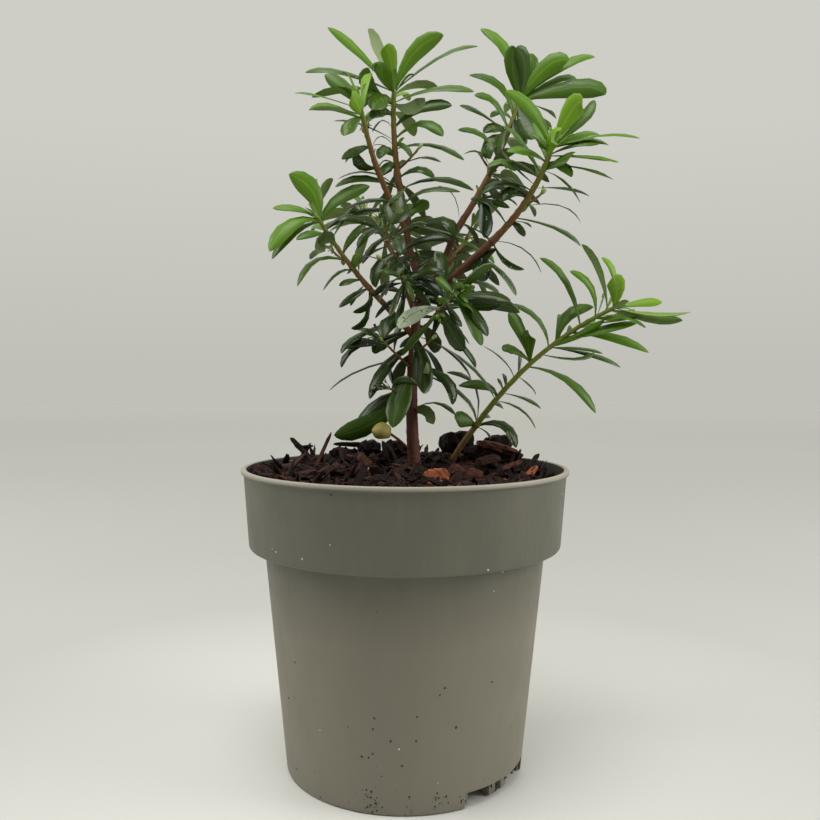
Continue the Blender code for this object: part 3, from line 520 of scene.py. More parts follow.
def ribsOf(leaves, u, hook=0.0):
    # Points of every leaf's rib at u of its length, with the sideways and upper directions there.
    # The rib sets off along first and turns towards pull by bend * u ** droopsAs + hook * u ** 6.
    fine = np.linspace(0, 1, growth["ribSteps"])
    turned = leaves["bend"][:, None] * fine ** growth["droopsAs"] + hook * fine**6
    ahead = unit(leaves["first"][:, None] + turned[..., None] * leaves["pull"][:, None])
    step = (ahead[:, 1:] + ahead[:, :-1]) / 2 * (leaves["length"][:, None, None] / (len(fine) - 1))
    run = np.concatenate([np.zeros_like(step[:, :1]), np.cumsum(step, 1)], 1)
    near = np.rint(np.asarray(u) * (len(fine) - 1)).astype(int)
    rib = leaves["root"][:, None] + run[:, near]
    ahead = ahead[:, near]
    axis = leaves["axis"][:, None]
    upper = unit(axis - (axis * ahead).sum(-1, keepdims=True) * ahead + 1e-6)
    side = np.cross(ahead, upper)
    return rib, *rolled(side, upper, leaves["roll"][:, None])


def halfWidths(leaves, u):
    # Half of each leaf's width: u ** 0.8 * sqrt(1 - u ** 4), never under its stalk near the root
    u = np.asarray(u)
    outline = u**0.8 * np.sqrt(1 - u**4) / growth["fullest"]
    outline = np.maximum(outline, growth["stalk"] * (u < 0.5))
    return (leaves["width"][:, None] / 2 * outline)[..., None]


def gathered(groups):
    return {key: np.concatenate([group[key] for group in groups]) for key in groups[0]}


def picked(leaves, kept):
    return {key: value[kept] for key, value in leaves.items()}


def edgePoints(leaves):
    # Points over each leaf where its clearance is measured
    u = np.array(growth["checks"]) / 40
    rib, side, _ = ribsOf(leaves, u)
    half = halfWidths(leaves, u)
    return np.concatenate([rib - side * half, rib, rib + side * half], 1)


def hasRoom(points, foreign, others):
    # Whether a leaf is over the mix, off the limbs and clear of the leaves of other masses
    if points[:, 2].min() < growth["lowest"]:
        return False
    if any(skinGap(points, limb).min() < growth["limbClearance"] for limb in foreign):
        return False
    return np.linalg.norm(points[:, None] - others[None], axis=-1).min() >= growth["leafClearance"]


def fitted(leaves, foreign, others):
    # The leaves that have room, each at the first share of its length that fits
    shares = np.zeros(len(leaves["length"]))
    for share in growth["shares"]:
        shorter = {**leaves, "length": share * leaves["length"]}
        for index, points in enumerate(edgePoints(shorter)):
            if not shares[index] and hasRoom(points, foreign, others):
                shares[index] = share
    leaves["length"] = shares * leaves["length"]
    return picked(leaves, shares > 0)


def foreignTo(name, stems):
    return [limb for key, limb in stems.items() if not key.startswith(f"{name}_")]


def growMasses(grownLimbs):
    # Shoots and kept leaves of every mass, each in the space that those before it leave free, and then
    # the finer leaves that stand between them
    stems = dict(grownLimbs)
    grown = {}
    for name, own in masses.items():
        mass = {**shoot, **own}
        if "follows" in mass:
            mass["foot"] = limbs[mass["follows"]]["tip"]
        path = seated(mass, stems)
        rng = np.random.default_rng(mass["seed"])
        shoots = shootsOf(mass, path, rng)
        for number, (twig, radii, _, _) in enumerate(shoots):
            stems[f"{name}_{number}"] = (twig, radii)
        grown[name] = (mass, shoots, leavesOf(mass, shoots, rng))
    takenUp = np.full((1, 3), 1e6)
    for name, (mass, shoots, leaves) in grown.items():
        leaves = fitted(leaves, foreignTo(name, stems), takenUp)
        takenUp = np.concatenate([takenUp, edgePoints(leaves).reshape(-1, 3)])
        grown[name] = (mass, shoots, leaves)
    spots = {name: edgePoints(leaves).reshape(-1, 3) for name, (_, _, leaves) in grown.items()}
    for number, (name, (mass, shoots, leaves)) in enumerate(grown.items()):
        rng = np.random.default_rng(seeds["fine"] + number)
        between = leavesOf({**mass, **fineLeaves}, shoots, rng, 0.5)
        for measure in ("length", "width"):
            between[measure] = between[measure] * fineLeaves["shorter"]
        kept = rng.random(len(between["age"])) < mass["fine"]
        between = picked(between, kept & (between["below"] > fineLeaves["fromTip"]))
        others = np.concatenate([points for key, points in spots.items() if key != name])
        between = fitted(between, foreignTo(name, stems), others)
        grown[name] = (mass, shoots, gathered([leaves, between]))
    return grown


# Stems: trunk, boughs, shoots and twigs
stemLook = dict(
    ringsEach=0.5,  # spacing of the rings
    sides=20,
    flareReach=2.0,
    ridge=0.05,  # of the radius
    lobes=((3, 0.5), (5, 0.35), (7, 0.3)),  # ridges round the stem, and how deep each set is
    swing=(0.02, 0.09),  # radians that they wind in a millimetre
    grain=0.016,
    scarHeight=0.2,  # the cushion under each leaf
    scarLength=0.8,
    scarWidth=0.5,  # radians
    scarFall=(3.0, 0.8),  # how soon it ends above and below
    scarSpacing=3.4,  # on bare limbs
)
trunkLook = {**stemLook, "sides": 40, "ringsEach": 0.4}
twigLook = {**stemLook, "sides": 12}
stalkLook = {**stemLook, "sides": 6, "ringsEach": 0.8}
limbFlare, shootFlare = 0.4, 0.3
sunkFoot = 3.0  # how far a limb that stands in the mix goes on under it
thinner = 0.65  # of the CAD's radii, for twigs and thin stems
twigRipe = (0.25, 0.9)


def barkSkin():
    # Bark that runs from purple-brown through orange-brown to yellow-green as the stem gets younger
    skin, tree, shader = nodesOf("stem_bark", (0.09, 0.035, 0.022), 0.62, 0.3)
    ripe = addNode(tree, "Attribute", attribute_name="ripe").outputs["Fac"]
    patches = addNoise(tree, 420, 5.0, 0.65, (1, 1, 0.35))
    factor = addMath(tree, "ADD", ripe, addRange(tree, patches, -0.09, 0.09))
    colour = addRamp(tree, factor, (
        (0.0, (0.115, 0.04, 0.026)),
        (0.14, (0.1, 0.037, 0.022)),
        (0.32, (0.12, 0.048, 0.019)),
        (0.55, (0.16, 0.082, 0.02)),
        (0.78, (0.155, 0.13, 0.02)),
        (1.0, (0.165, 0.22, 0.026)),
    ))
    flakes = addNoise(tree, 1900, 4.0, 0.7, (1, 1, 0.3))
    pale = addMix(tree, addRange(tree, flakes, 0.0, 0.28, 0.58, 0.75), colour, (0.17, 0.09, 0.055))
    tree.links.new(pale, shader.inputs["Base Color"])
    tree.links.new(addRange(tree, patches, 0.5, 0.8), shader.inputs["Roughness"])
    addBump(tree, shader, flakes, 0.55, 0.12)
    return skin


def stemSurface(path, radii, ripe, seed, scars=None, flare=0.0, look=stemLook):
    # Around (a) and along (d) the path: radius = taper * (1 + flare e^(-d / reach)) * (1 + ridges +
    # grain) + a cushion for each leaf, which is a bell in d and a; the two ends close on their middles
    total = lengthOf(path)
    rows = max(6, round(total / look["ringsEach"]) + 1)
    d = np.linspace(0, total, rows)
    centre = taken(path, d)
    side, above = across(unit(np.gradient(centre, axis=0)))
    a = turns(look["sides"])[None]
    rng = np.random.default_rng(seed)
    share = (d / total)[:, None]
    taper = radii[0] + (radii[1] - radii[0]) * share
    radius = taper * (1 + flare * np.exp(-d / look["flareReach"]))[:, None]
    relief = np.zeros((rows, look["sides"]))
    for lobes, depth in look["lobes"]:
        swing, phase = rng.uniform(*look["swing"]), rng.uniform(0, math.tau)
        relief += depth * np.sin(lobes * a + swing * d[:, None] + phase)
    radius = radius * (1 + look["ridge"] * relief + look["grain"] * rng.standard_normal(relief.shape))
    if scars is not None:
        place, turn = scars
        gap = (a[..., None] - turn + math.pi) % math.tau - math.pi
        along = (d[:, None, None] - place) / look["scarLength"]
        fall = np.where(along > 0, *look["scarFall"])
        bell = np.exp(-(along**2) * fall - (gap / look["scarWidth"]) ** 2)
        radius = radius + look["scarHeight"] * bell.sum(-1)
    points = centre[:, None] + radius[..., None] * around(a, side[:, None], above[:, None])
    beyond = centre[-1:] + (centre[-1:] - centre[-2:-1])
    points = np.concatenate([points.reshape(-1, 3), centre[:1], beyond])
    shade = np.concatenate([np.repeat(share[:, 0], look["sides"]), [0, 1]])
    return points, *tubeFaces(rows, look["sides"], flip=True), ripe[0] + (ripe[1] - ripe[0]) * shade


def scarsOf(leaves, number, total):
    # Where a shoot's leaves stand: distance from its foot, and the turn round it, side to above
    mine = leaves["shoot"] == number
    if not mine.any():
        return None
    side, above = across(leaves["axis"][mine])
    outward = leaves["outward"][mine]
    turn = np.arctan2((outward * above).sum(-1), (outward * side).sum(-1))
    return total - leaves["below"][mine], turn


def limbScars(path, seed):
    # Old leaf scars up a bare limb, a golden turn apart
    spacing = stemLook["scarSpacing"]
    count = int(lengthOf(path) / spacing)
    rng = np.random.default_rng(seed)
    place = (np.arange(count) + 0.5 + 0.3 * rng.uniform(-1, 1, count)) * spacing
    return place, (goldenTurn * np.arange(count) + rng.uniform(0, 1)) % math.tau


def addStems(name, parts, skin, nodes=()):
    # Several stems as one piece, which carries the ripeness of the bark at each point
    starts = np.cumsum([0] + [len(part[0]) for part in parts[:-1]])
    points, shades = (np.concatenate([part[n] for part in parts]) for n in (0, 3))
    faces = [np.concatenate([part[n] + start for part, start in zip(parts, starts)]) for n in (1, 2)]
    piece = addPiece(name, points, faces, [skin], nodes)
    ripe = piece.data.attributes.new("ripe", "FLOAT", "POINT")
    ripe.data.foreach_set("value", shades.astype(np.float32))


def buildLimbs(skin):
    # The trunk and boughs, each bough started on the middle line of its carrier so that no gap shows
    parts = []
    for number, (name, limb) in enumerate(limbs.items()):
        path = arc(limb["foot"], limb["tip"], limb["bow"])
        if "ground" in limb:
            path = np.vstack([path[0] - sunkFoot * unit(path[3] - path[0]), path])
        scars = limbScars(path, seeds["limbScars"] + number)
        flare = 0.0 if "follows" in limb else limbFlare
        look = trunkLook if name == "trunk" else stemLook
        radii = limb.get("slimmer", limb["radii"])
        parts.append(stemSurface(path, radii, limb["ripe"], seeds["limbs"] + number, scars, flare, look))
    addStems("bark_limbs", parts, skin, list(limbs))


def buildShoots(grown):
    # The stems and twigs that carry the leaves, with a cushion under each leaf
    parts = []
    for number, (mass, shoots, leaves) in enumerate(grown.values()):
        for which, (path, radii, _, _) in enumerate(shoots):
            ripe, look = (twigRipe, twigLook) if which else (mass["ripe"], stemLook)
            if which == 0:
                path = arc(mass["foot"], mass["tip"], mass["bow"])
            if which or "thinStem" in mass:
                radii = [thinner * radius for radius in radii]
            scars = scarsOf(leaves, which, lengthOf(path))
            seed = seeds["shoots"] + 10 * number + which
            parts.append(stemSurface(path, radii, ripe, seed, scars, shootFlare, look))
    return parts


# Leaves
leafLook = dict(
    rings=(0, 5, 11, 19, 27, 33, 37, 39),  # fortieths of the length, and the tip
    top=(-1.0, -0.68, -0.085, 0.085, 0.68, 1.0),  # places across the upper side
    under=(0.5, -0.5),
    thickness=0.34,
    slimmer=0.8,
    crown=0.2,  # rise of the blade beside the midrib, of half the width
    rolled=0.45,  # how far the margins turn down
    hook=1.0,  # extra bend of the last of the tip
    curl=0.05,  # of the length, that the tip of a traced leaf turns down
    wave=0.06,
    waves=1.3,  # along the blade
    twist=0.3,  # radians
    stalk=0.15,
    specular=0.28,
)
# Upper side, midrib and under side: first the closed bud, then from the youngest leaves to the oldest
# The oldest stages are dark green leaves made darker still: painted shade deep inside the crown
leafStages = (
    dict(top=(0.36, 0.46, 0.17), rib=(0.42, 0.52, 0.22), under=(0.33, 0.42, 0.2), gloss=0.5),
    dict(top=(0.165, 0.325, 0.013), rib=(0.22, 0.4, 0.035), under=(0.21, 0.33, 0.07), gloss=0.42),
    dict(top=(0.1, 0.22, 0.01), rib=(0.15, 0.28, 0.022), under=(0.18, 0.27, 0.07), gloss=0.38),
    dict(top=(0.065, 0.142, 0.009), rib=(0.1, 0.195, 0.018), under=(0.15, 0.215, 0.065), gloss=0.34),
    dict(top=(0.042, 0.088, 0.008), rib=(0.066, 0.127, 0.015), under=(0.12, 0.17, 0.058), gloss=0.3),
    dict(top=(0.021, 0.043, 0.004), rib=(0.036, 0.068, 0.009), under=(0.08, 0.112, 0.03), gloss=0.26),
    dict(top=(0.009, 0.0205, 0.003), rib=(0.017, 0.035, 0.006), under=(0.058, 0.082, 0.024), gloss=0.24),
)
# A leaf white with lime, and a withered yellow one
limedStage, yellowStage = len(leafStages), len(leafStages) + 1
leafStages += (
    dict(top=(0.34, 0.39, 0.27), rib=(0.2, 0.25, 0.14), under=(0.07, 0.108, 0.042), gloss=0.6),
    dict(top=(0.31, 0.265, 0.07), rib=(0.34, 0.3, 0.09), under=(0.25, 0.21, 0.06), gloss=0.5),
)
oldestStage = 6
# Of the leaves from this stage on, this share has a pale margin of painted sheen from this ring to the tip
sheenMargin = dict(first=4, share=0.35, ring=3, colour=(0.14, 0.18, 0.1), gloss=0.36)
# How stages follow from ages: power of the way down the shoot, luck, and how much older a twig's are
ripening = dict(power=0.8, luck=0.6, onTwigs=0.8)


def leafSkin(name, colour, gloss, relief):
    # A plain base colour under a sheen that a fine noise breaks up
    skin, tree, shader = nodesOf(name, colour, gloss, leafLook["specular"])
    addBump(tree, shader, addNoise(tree, 900, 3.0, 0.6), relief, 0.08)
    return skin


def leafSkins():
    skins = []
    for number, stage in enumerate(leafStages):
        skins.append(leafSkin(f"leaf_top_{number}", stage["top"], stage["gloss"], 0.35))
        skins.append(leafSkin(f"leaf_rib_{number}", stage["rib"], stage["gloss"] + 0.06, 0.2))
        skins.append(leafSkin(f"leaf_under_{number}", stage["under"], 0.62, 0.45))
    # The last skin is the pale painted sheen along one margin of older leaves
    return skins + [leafSkin("leaf_painted_sheen", sheenMargin["colour"], sheenMargin["gloss"], 0.3)]


def bladeWidths(leaves, u):
    # Half of each blade's width: u ** 0.85 * (1 - u ** p) ** 0.75 over its own greatest value, where p
    # swings from leaf to leaf, and never under its stalk near the root
    u = np.asarray(u)
    blunt = (3.4 + np.sin(7.0 * np.arange(len(leaves["length"]))))[:, None]
    widest = (0.85 / (0.85 + 0.75 * blunt)) ** (1 / blunt)
    outline = (u / widest) ** 0.85 * ((1 - u**blunt) / (1 - widest**blunt)) ** 0.75
    outline = np.maximum(outline, leafLook["stalk"] * (u < 0.5))
    return (leafLook["slimmer"] * leaves["width"][:, None] / 2 * outline)[..., None]


def bladeRibs(leaves, u, look):
    # As ribsOf; a traced leaf's rib is B(u) = (1-u)^2 root + 2u(1-u) control + u^2 tip with its end
    # turned down by curl * u^6, and its upper side leans towards facing
    if "control" not in leaves:
        return ribsOf(leaves, u, look["hook"])
    u = np.asarray(u)[:, None]
    root, control, tip, facing = (leaves[key][:, None] for key in ("root", "control", "tip", "facing"))
    arch = leaves["arch"][:, None] * (look["curl"] * leaves["length"])[:, None, None]
    rib = (1 - u) ** 2 * root + 2 * u * (1 - u) * control + u**2 * tip - u**6 * arch
    ahead = unit(2 * (1 - u) * (control - root) + 2 * u * (tip - control) - 6 * u**5 * arch)
    upper = unit(facing - (facing * ahead).sum(-1, keepdims=True) * ahead)
    return rib, np.cross(ahead, upper), upper


def bladePoints(leaves, u, v, look=leafLook):
    # Points of the upper side at (u, v), for v from -1 to 1 across the blade, and the directions there:
    # rib + side * v * half width + upper * half width * (crown |v| - rolled |v|^3.5 + wave)
    rng = np.random.default_rng(len(leaves["length"]))
    draw = rng.uniform(-1, 1, (len(leaves["length"]), 3, 1))
    rib, side, upper = bladeRibs(leaves, u, look)
    side, upper = rolled(side, upper, look["twist"] * draw[:, 0] * (np.asarray(u) - 0.3))
    half = bladeWidths(leaves, u)
    v = np.asarray(v)
    wave = look["wave"] * np.sin(math.tau * (look["waves"] * np.asarray(u) + draw[:, 1]))[..., None] * v
    lift = look["crown"] * np.abs(v) - look["rolled"] * np.abs(v) ** 3.5 + wave
    points = rib[:, :, None] + side[:, :, None] * (v * half)[..., None]
    return points + upper[:, :, None] * (lift * half)[..., None], upper, half


def leafMesh(leaves, look=leafLook):
    # Every leaf as a closed blade: rings of points over the upper side and back along the under side,
    # which is thinner towards the margins, then a point at the tip and root
    u = np.array(look["rings"]) / 40
    top, under = np.array(look["top"]), np.array(look["under"])
    upperSide, upper, half = bladePoints(leaves, u, top, look)
    lowerSide = bladePoints(leaves, u, under, look)[0]
    thick = look["thickness"] * (1 - np.abs(under) ** 6)
    shrunk = np.minimum(1.0, leaves["length"] / 20)[:, None, None] * np.minimum(1.0, half / 1.2)
    lowerSide = lowerSide - upper[:, :, None] * (thick * shrunk)[..., None]
    rings = np.concatenate([upperSide, lowerSide], 2)
    count, rows, columns = rings.shape[:3]
    rib = bladeRibs(leaves, [0.0, 1.0], look)[0]
    points = np.concatenate([rings.reshape(count, -1, 3), rib], 1)
    return points, *tubeFaces(rows, columns)


def stagesOf(mass, leaves, rng):
    # The stage of each leaf: by how far below the tip of its shoot it stands, with some luck
    ripe, first, last = mass["ages"]
    luck = ripening["luck"]
    stage = first + (last - first) * np.minimum(1.0, leaves["below"] / ripe) ** ripening["power"]
    stage = stage + rng.uniform(-luck, luck, len(stage))
    stage = stage + np.where(leaves["shoot"] > 0, ripening["onTwigs"], 0.0)
    return np.clip(np.rint(stage), 1, oldestStage).astype(int)


def dealtSkins(stages, lastSkin):
    # The skin of each face of each leaf: 0 upper side, 1 midrib or 2 under side of its stage, but the
    # last skin for a pale margin, which is painted sheen
    rng = np.random.default_rng(len(stages))
    top, rows = len(leafLook["top"]), len(leafLook["rings"])
    ring = np.arange(top + len(leafLook["under"]))
    perRing = np.where(ring < top - 1, 0, 2)
    perRing[top // 2 - 1] = 1
    worn = 3 * stages[:, None] + np.tile(perRing, rows + 1)
    column = np.tile(ring, rows + 1)
    row = np.repeat([*range(rows - 1), -1, rows], len(ring))
    edge = np.where(rng.random(len(stages)) < 0.5, 0, top - 2)
    old = (stages >= sheenMargin["first"]) & (stages <= oldestStage)
    chosen = old & (rng.random(len(stages)) < sheenMargin["share"])
    start = sheenMargin["ring"] + rng.integers(0, 3, (len(stages), 1))
    pale = chosen[:, None] & (column == edge[:, None]) & (row >= start)
    return np.where(pale, lastSkin, worn)


def addLeaves(name, groups, stages, skins, nodes=()):
    # Groups of leaves as one piece, each leaf in the plain colours of its stage
    shapes = [leafMesh(leaves) for leaves in groups]
    points = np.concatenate([shape[0] for shape in shapes])
    _, quads, ends = shapes[0]
    count, each = points.shape[:2]
    worn = dealtSkins(stages.astype(int), len(skins) - 1)
    order = np.concatenate([worn[:, : len(quads)].ravel(), worn[:, len(quads) :].ravel()])
    used, order = np.unique(order, return_inverse=True)
    faces = [repeated(quads, count, each), repeated(ends, count, each)]
    used = [skins[index] for index in used]
    addPiece(name, points.reshape(-1, 3), faces, used, nodes, order, sharp=48)


# Pot: a deep collar over a tapering wall, a thin lip, two drainage arches
pot = dict(
    rimRadius=65.0,
    rimHeight=119.5,
    lipDepth=2.1,
    lipReach=0.9,
    wall=1.2,
    collarRadius=62.0,
    collarHeight=88.6,
    shelfRadius=55.9,
    baseRadius=47.2,
    plateRadius=36.0,
    channelHeight=6.6,
    archAzimuths=(52.0, 232.0),
    archWidth=39.0,
    archHeight=6.0,
    archReach=10.0,
    drains=6,
    drainRadius=3.6,
    drainCircle=24.0,
    drainReach=4.0,
    drainSides=28,
    drainStart=0.07,
    ribOffsets=(-23.5, -5.5, 4.0),
    ribWidth=3.8,
    ribLength=7.0,
    ribBevel=0.35,
    steps=256,
)


def wallRadius(height):
    return pot["baseRadius"] + (pot["shelfRadius"] - pot["baseRadius"]) * height / pot["collarHeight"]


def collarRadius(height):
    share = (height - pot["collarHeight"]) / (pot["rimHeight"] - pot["collarHeight"])
    return pot["collarRadius"] + (pot["rimRadius"] - pot["lipReach"] - pot["collarRadius"]) * share


def rounded(corners, steps=5):
    # The outline with each corner (radius, height, rounding) turned into a quadratic curve
    # B(t) = (1-t)^2 before + 2t(1-t) corner + t^2 after; corners with no rounding stay sharp
    outline = []
    for number, (x, z, size) in enumerate(corners):
        corner = np.array([x, z])
        if not size:
            outline.append(corner[None])
            continue
        before, after = (np.array(corners[number + step][:2]) for step in (-1, 1))
        start = corner + (before - corner) * min(0.49, size / np.linalg.norm(before - corner))
        end = corner + (after - corner) * min(0.49, size / np.linalg.norm(after - corner))
        t = np.linspace(0, 1, steps)[:, None]
        outline.append((1 - t) ** 2 * start + 2 * t * (1 - t) * corner + t**2 * end)
    return np.concatenate(outline)


def spaced(outline, longest=4.0):
    # The outline with its long stretches cut up evenly
    rows = [outline[:1]]
    for start, end in zip(outline, outline[1:]):
        count = max(1, math.ceil(np.linalg.norm(end - start) / longest))
        rows.append(start + (end - start) * np.linspace(0, 1, count + 1)[1:, None])
    return np.concatenate(rows)


def turnedSurface(outline, steps):
    # The outline (radius, height), whose ends lie on the axis, turned once about Z
    turn = turns(steps)
    radius, height = outline[1:-1, 0, None], outline[1:-1, 1, None]
    rings = np.stack([radius * np.cos(turn), radius * np.sin(turn), height + 0 * turn], -1)
    middles = [(0, 0, outline[0, 1]), (0, 0, outline[-1, 1])]
    return np.concatenate([rings.reshape(-1, 3), middles]), *tubeFaces(len(rings), steps)


def potOutline():
    # From under the middle, out to the foot, up the outside, over the lip and down the inside
    wall, foot, channel = pot["wall"], pot["baseRadius"], pot["channelHeight"]
    shelf, rim, lip = pot["collarHeight"], pot["rimHeight"], pot["rimHeight"] - pot["lipDepth"]
    innerShelf = shelf + wall
    return spaced(rounded([
        (0, 0, 0),
        (pot["plateRadius"], 0, 0.5),
        (pot["plateRadius"] + 1.0, channel, 0.6),
        (wallRadius(channel) - wall, channel, 0.6),
        (foot - wall - 0.1, 0, 0.3),
        (foot, 0, 0.9),
        (wallRadius(shelf - 0.4), shelf - 0.1, 0.5),
        (pot["collarRadius"] - 0.1, shelf, 1.5),
        (collarRadius(lip), lip, 0.5),
        (pot["rimRadius"], lip + 0.35, 0.5),
        (pot["rimRadius"], rim, 0.7),
        (collarRadius(rim) - wall, rim, 0.6),
        (collarRadius(innerShelf) - wall, innerShelf, 0.8),
        (wallRadius(innerShelf) - wall, innerShelf, 0.6),
        (wallRadius(channel + wall) - wall, channel + wall, 1.0),
        (pot["plateRadius"] - 0.3, channel + wall, 0.6),
        (pot["plateRadius"] - wall, wall, 0.8),
        (0, wall, 0),
    ]))


def placed(points, azimuth, radius, height=0.0):
    # Points moved out to a radius on the front and turned this many degrees to the right
    turn = math.radians(azimuth)
    x, y, z = points[:, 0], points[:, 1] - radius, points[:, 2] + height
    return np.stack([x * math.cos(turn) - y * math.sin(turn), x * math.sin(turn) + y * math.cos(turn), z], 1)


def blockPoints(width, depth, height):
    # The eight corners of a block round the origin, and its faces
    corner = np.array([(x, y, z) for z in (-1, 1) for x, y in ((-1, -1), (1, -1), (1, 1), (-1, 1))])
    faces = np.array([(3, 2, 1, 0), (4, 5, 6, 7), (0, 1, 5, 4), (1, 2, 6, 5), (2, 3, 7, 6), (3, 0, 4, 7)])
    return corner * (width / 2, depth / 2, height / 2), faces


def drainPoints():
    # An upright drum round the origin, and its faces; it starts at an angle that misses the seams of
    # the pot's own rings
    reach, turn = pot["drainReach"], turns(pot["drainSides"]) + pot["drainStart"]
    x, y = pot["drainRadius"] * np.cos(turn), pot["drainRadius"] * np.sin(turn)
    rings = [np.stack([x, y, 0 * turn + z], 1) for z in (-reach, reach)]
    quads, ends = tubeFaces(2, len(turn))
    return np.concatenate([*rings, [(0, 0, -reach), (0, 0, reach)]]), [*quads.tolist(), *ends.tolist()]


def cutAway(piece, name, points, faces):
    # Cuts a closed shape out of the piece
    mesh = bpy.data.meshes.new(name)
    mesh.from_pydata((points * mm).tolist(), [], faces)
    cutter = addObject(name, mesh)
    cut = piece.modifiers.new("cut", "BOOLEAN")
    cut.operation = "DIFFERENCE"
    cut.solver = "EXACT"
    cut.object = cutter
    with bpy.context.temp_override(object=piece, active_object=piece):
        bpy.ops.object.modifier_apply(modifier=cut.name)
    bpy.data.objects.remove(cutter, do_unlink=True)


def potSkin():
    # Matt taupe plastic: cloudy, faintly streaked downwards, a little paler down the wall, with a painted
    # highlight along the lip, and with fine scuffs in its sheen
    skin, tree, shader = nodesOf("pot_plastic", (0.17, 0.165, 0.135), 0.5)
    clouds = addNoise(tree, 26, 5.0, 0.6, (1, 1, 0.7))
    streaks = addNoise(tree, 330, 3.0, 0.6, (1, 1, 0.05))
    stains = addNoise(tree, 95, 6.0, 0.7, (1, 1, 0.5))
    height = addPlace(tree, "Z")
    lip = pot["rimHeight"] - 0.65 * pot["lipDepth"]
    colour = addRamp(tree, clouds, (
        (0.3, (0.106, 0.106, 0.079)),
        (0.5, (0.119, 0.118, 0.088)),
        (0.7, (0.133, 0.131, 0.098)),
    ))
    for factor, tone in (
        (addRange(tree, streaks, 0.0, 0.1, 0.45, 0.75), (0.215, 0.205, 0.165)),
        (addRange(tree, stains, 0.0, 0.2, 0.6, 0.78), (0.09, 0.09, 0.07)),
        (addRange(tree, height, 0.0, 0.6, 89 * mm, 60 * mm), (0.235, 0.212, 0.163)),
        # The lip's pale band is a painted highlight, where the thin lip catches the light
        (addRange(tree, height, 0.0, 0.55, (lip - 0.3) * mm, (lip + 0.5) * mm), (0.5, 0.46, 0.37)),
    ):
        colour = addMix(tree, factor, colour, tone)
    tree.links.new(colour, shader.inputs["Base Color"])
    tree.links.new(addRange(tree, stains, 0.42, 0.62), shader.inputs["Roughness"])
    grain = addNoise(tree, 1500, 3.0, 0.6)
    addBump(tree, shader, addMath(tree, "ADD", grain, streaks), 0.25, 0.05)
    return skin


def buildPot(skin, insideShadeSkin):
    # The turned shell with its arches and drain holes cut out, and the ribs behind the arches
    outline = potOutline()
    points, quads, ends = turnedSurface(outline, pot["steps"])
    rim = np.flatnonzero(outline[:, 1] > pot["rimHeight"] - 0.05)[-1]
    row = np.arange(len(quads)) // pot["steps"]
    # Faces from the rim down the inside wear a darker skin, which is painted shade
    worn = np.concatenate([row >= rim, np.arange(len(ends)) >= pot["steps"]]).astype(int)
    faces = [quads[:, ::-1], ends[:, ::-1]]
    piece = addPiece("pot_body", points, faces, [skin, insideShadeSkin], ["pot"], worn)
    block, faces = blockPoints(pot["archWidth"], pot["archReach"], 2 * pot["archHeight"])
    for side in pot["archAzimuths"]:
        cutAway(piece, "arch", placed(block, side, pot["baseRadius"]), faces.tolist())
    drain, faces = drainPoints()
    for number in range(pot["drains"]):
        azimuth = 360 * number / pot["drains"] + 180
        cutAway(piece, "drain", placed(drain, azimuth, pot["drainCircle"]), faces)
    piece.data.set_sharp_from_angle(angle=math.radians(40))
    height = pot["channelHeight"] + pot["wall"] / 2
    middle = pot["baseRadius"] - pot["wall"] - pot["ribLength"] / 2 - 0.6
    block, faces = blockPoints(pot["ribWidth"], pot["ribLength"], height - 0.4)
    azimuths = [side + offset for side in pot["archAzimuths"] for offset in pot["ribOffsets"]]
    points = np.concatenate([placed(block, azimuth, middle, height / 2 + 0.2) for azimuth in azimuths])
    faces = repeated(faces, len(azimuths), len(block))
    ribs = addPiece("pot_ribs", points, [faces], [skin], smooth=False)
    bevel = ribs.modifiers.new("edges", "BEVEL")
    bevel.width = pot["ribBevel"] * mm
    bevel.segments = 2


# Specks on the pot: soil near its foot and on the ribs of its arches, and a few pale flecks
specks = dict(
    soil=110,
    pale=9,
    clods=16,  # on each rib
    soilSize=(0.25, 0.7),
    dotSize=0.6,
    paleSize=(0.3, 0.55),
    clodSize=(0.5, 1.25),
    patchReach=4.0,  # pixels
)
# Where the photograph shows pale flecks, dark dots, and patches of soil with how many crumbs each has
paleFlecks = (
    (272, 549), (276, 552), (330, 545), (302, 559), (488, 570), (495, 571), (503, 572), (562, 494),
    (494, 591), (399, 749), (438, 783), (320, 730),
)
darkDots = (
    (445, 688), (440, 695), (456, 727), (374, 718), (373, 754), (391, 741), (417, 717), (416, 741),
    (402, 766), (492, 682), (437, 793), (409, 797), (331, 495), (456, 728),
)
soilPatches = (
    (366, 797, 13), (377, 803, 15), (372, 806, 9), (410, 809, 8), (435, 804, 9), (440, 800, 6),
    (462, 800, 7),
)


def crumbShapes(middles, sizes, outward, rng):
    # Small eight-sided crumbs: an octahedron for each, squeezed and uneven, flat against a surface
    corner = np.array([(1, 0, 0), (0, 1, 0), (-1, 0, 0), (0, -1, 0), (0, 0, 1), (0, 0, -1)], float)
    faces = np.array([(0, 1, 4), (1, 2, 4), (2, 3, 4), (3, 0, 4), (1, 0, 5), (2, 1, 5), (3, 2, 5), (0, 3, 5)])
    count = len(middles)
    first = around(rng.uniform(0, math.tau, count), *across(outward))
    second = np.cross(outward, first)
    shape = corner[None] * rng.uniform(0.6, 1.3, (count, 6, 1)) * sizes[:, None, None]
    points = (
        middles[:, None] + shape[..., :1] * first[:, None] + 0.7 * shape[..., 1:2] * second[:, None]
        + 0.45 * shape[..., 2:] * outward[:, None]
    )
    return points.reshape(-1, 3), repeated(faces, count, 6)


def onWall(azimuth, height):
    # Points of the pot's outside at these azimuths in degrees and heights, and the way out of it
    turn = np.radians(azimuth)
    radius = np.where(height < pot["collarHeight"], wallRadius(height), collarRadius(height))
    out = np.stack([np.sin(turn), -np.cos(turn), 0 * turn], 1)
    return out * radius[:, None] + [0, 0, 1] * height[:, None], out


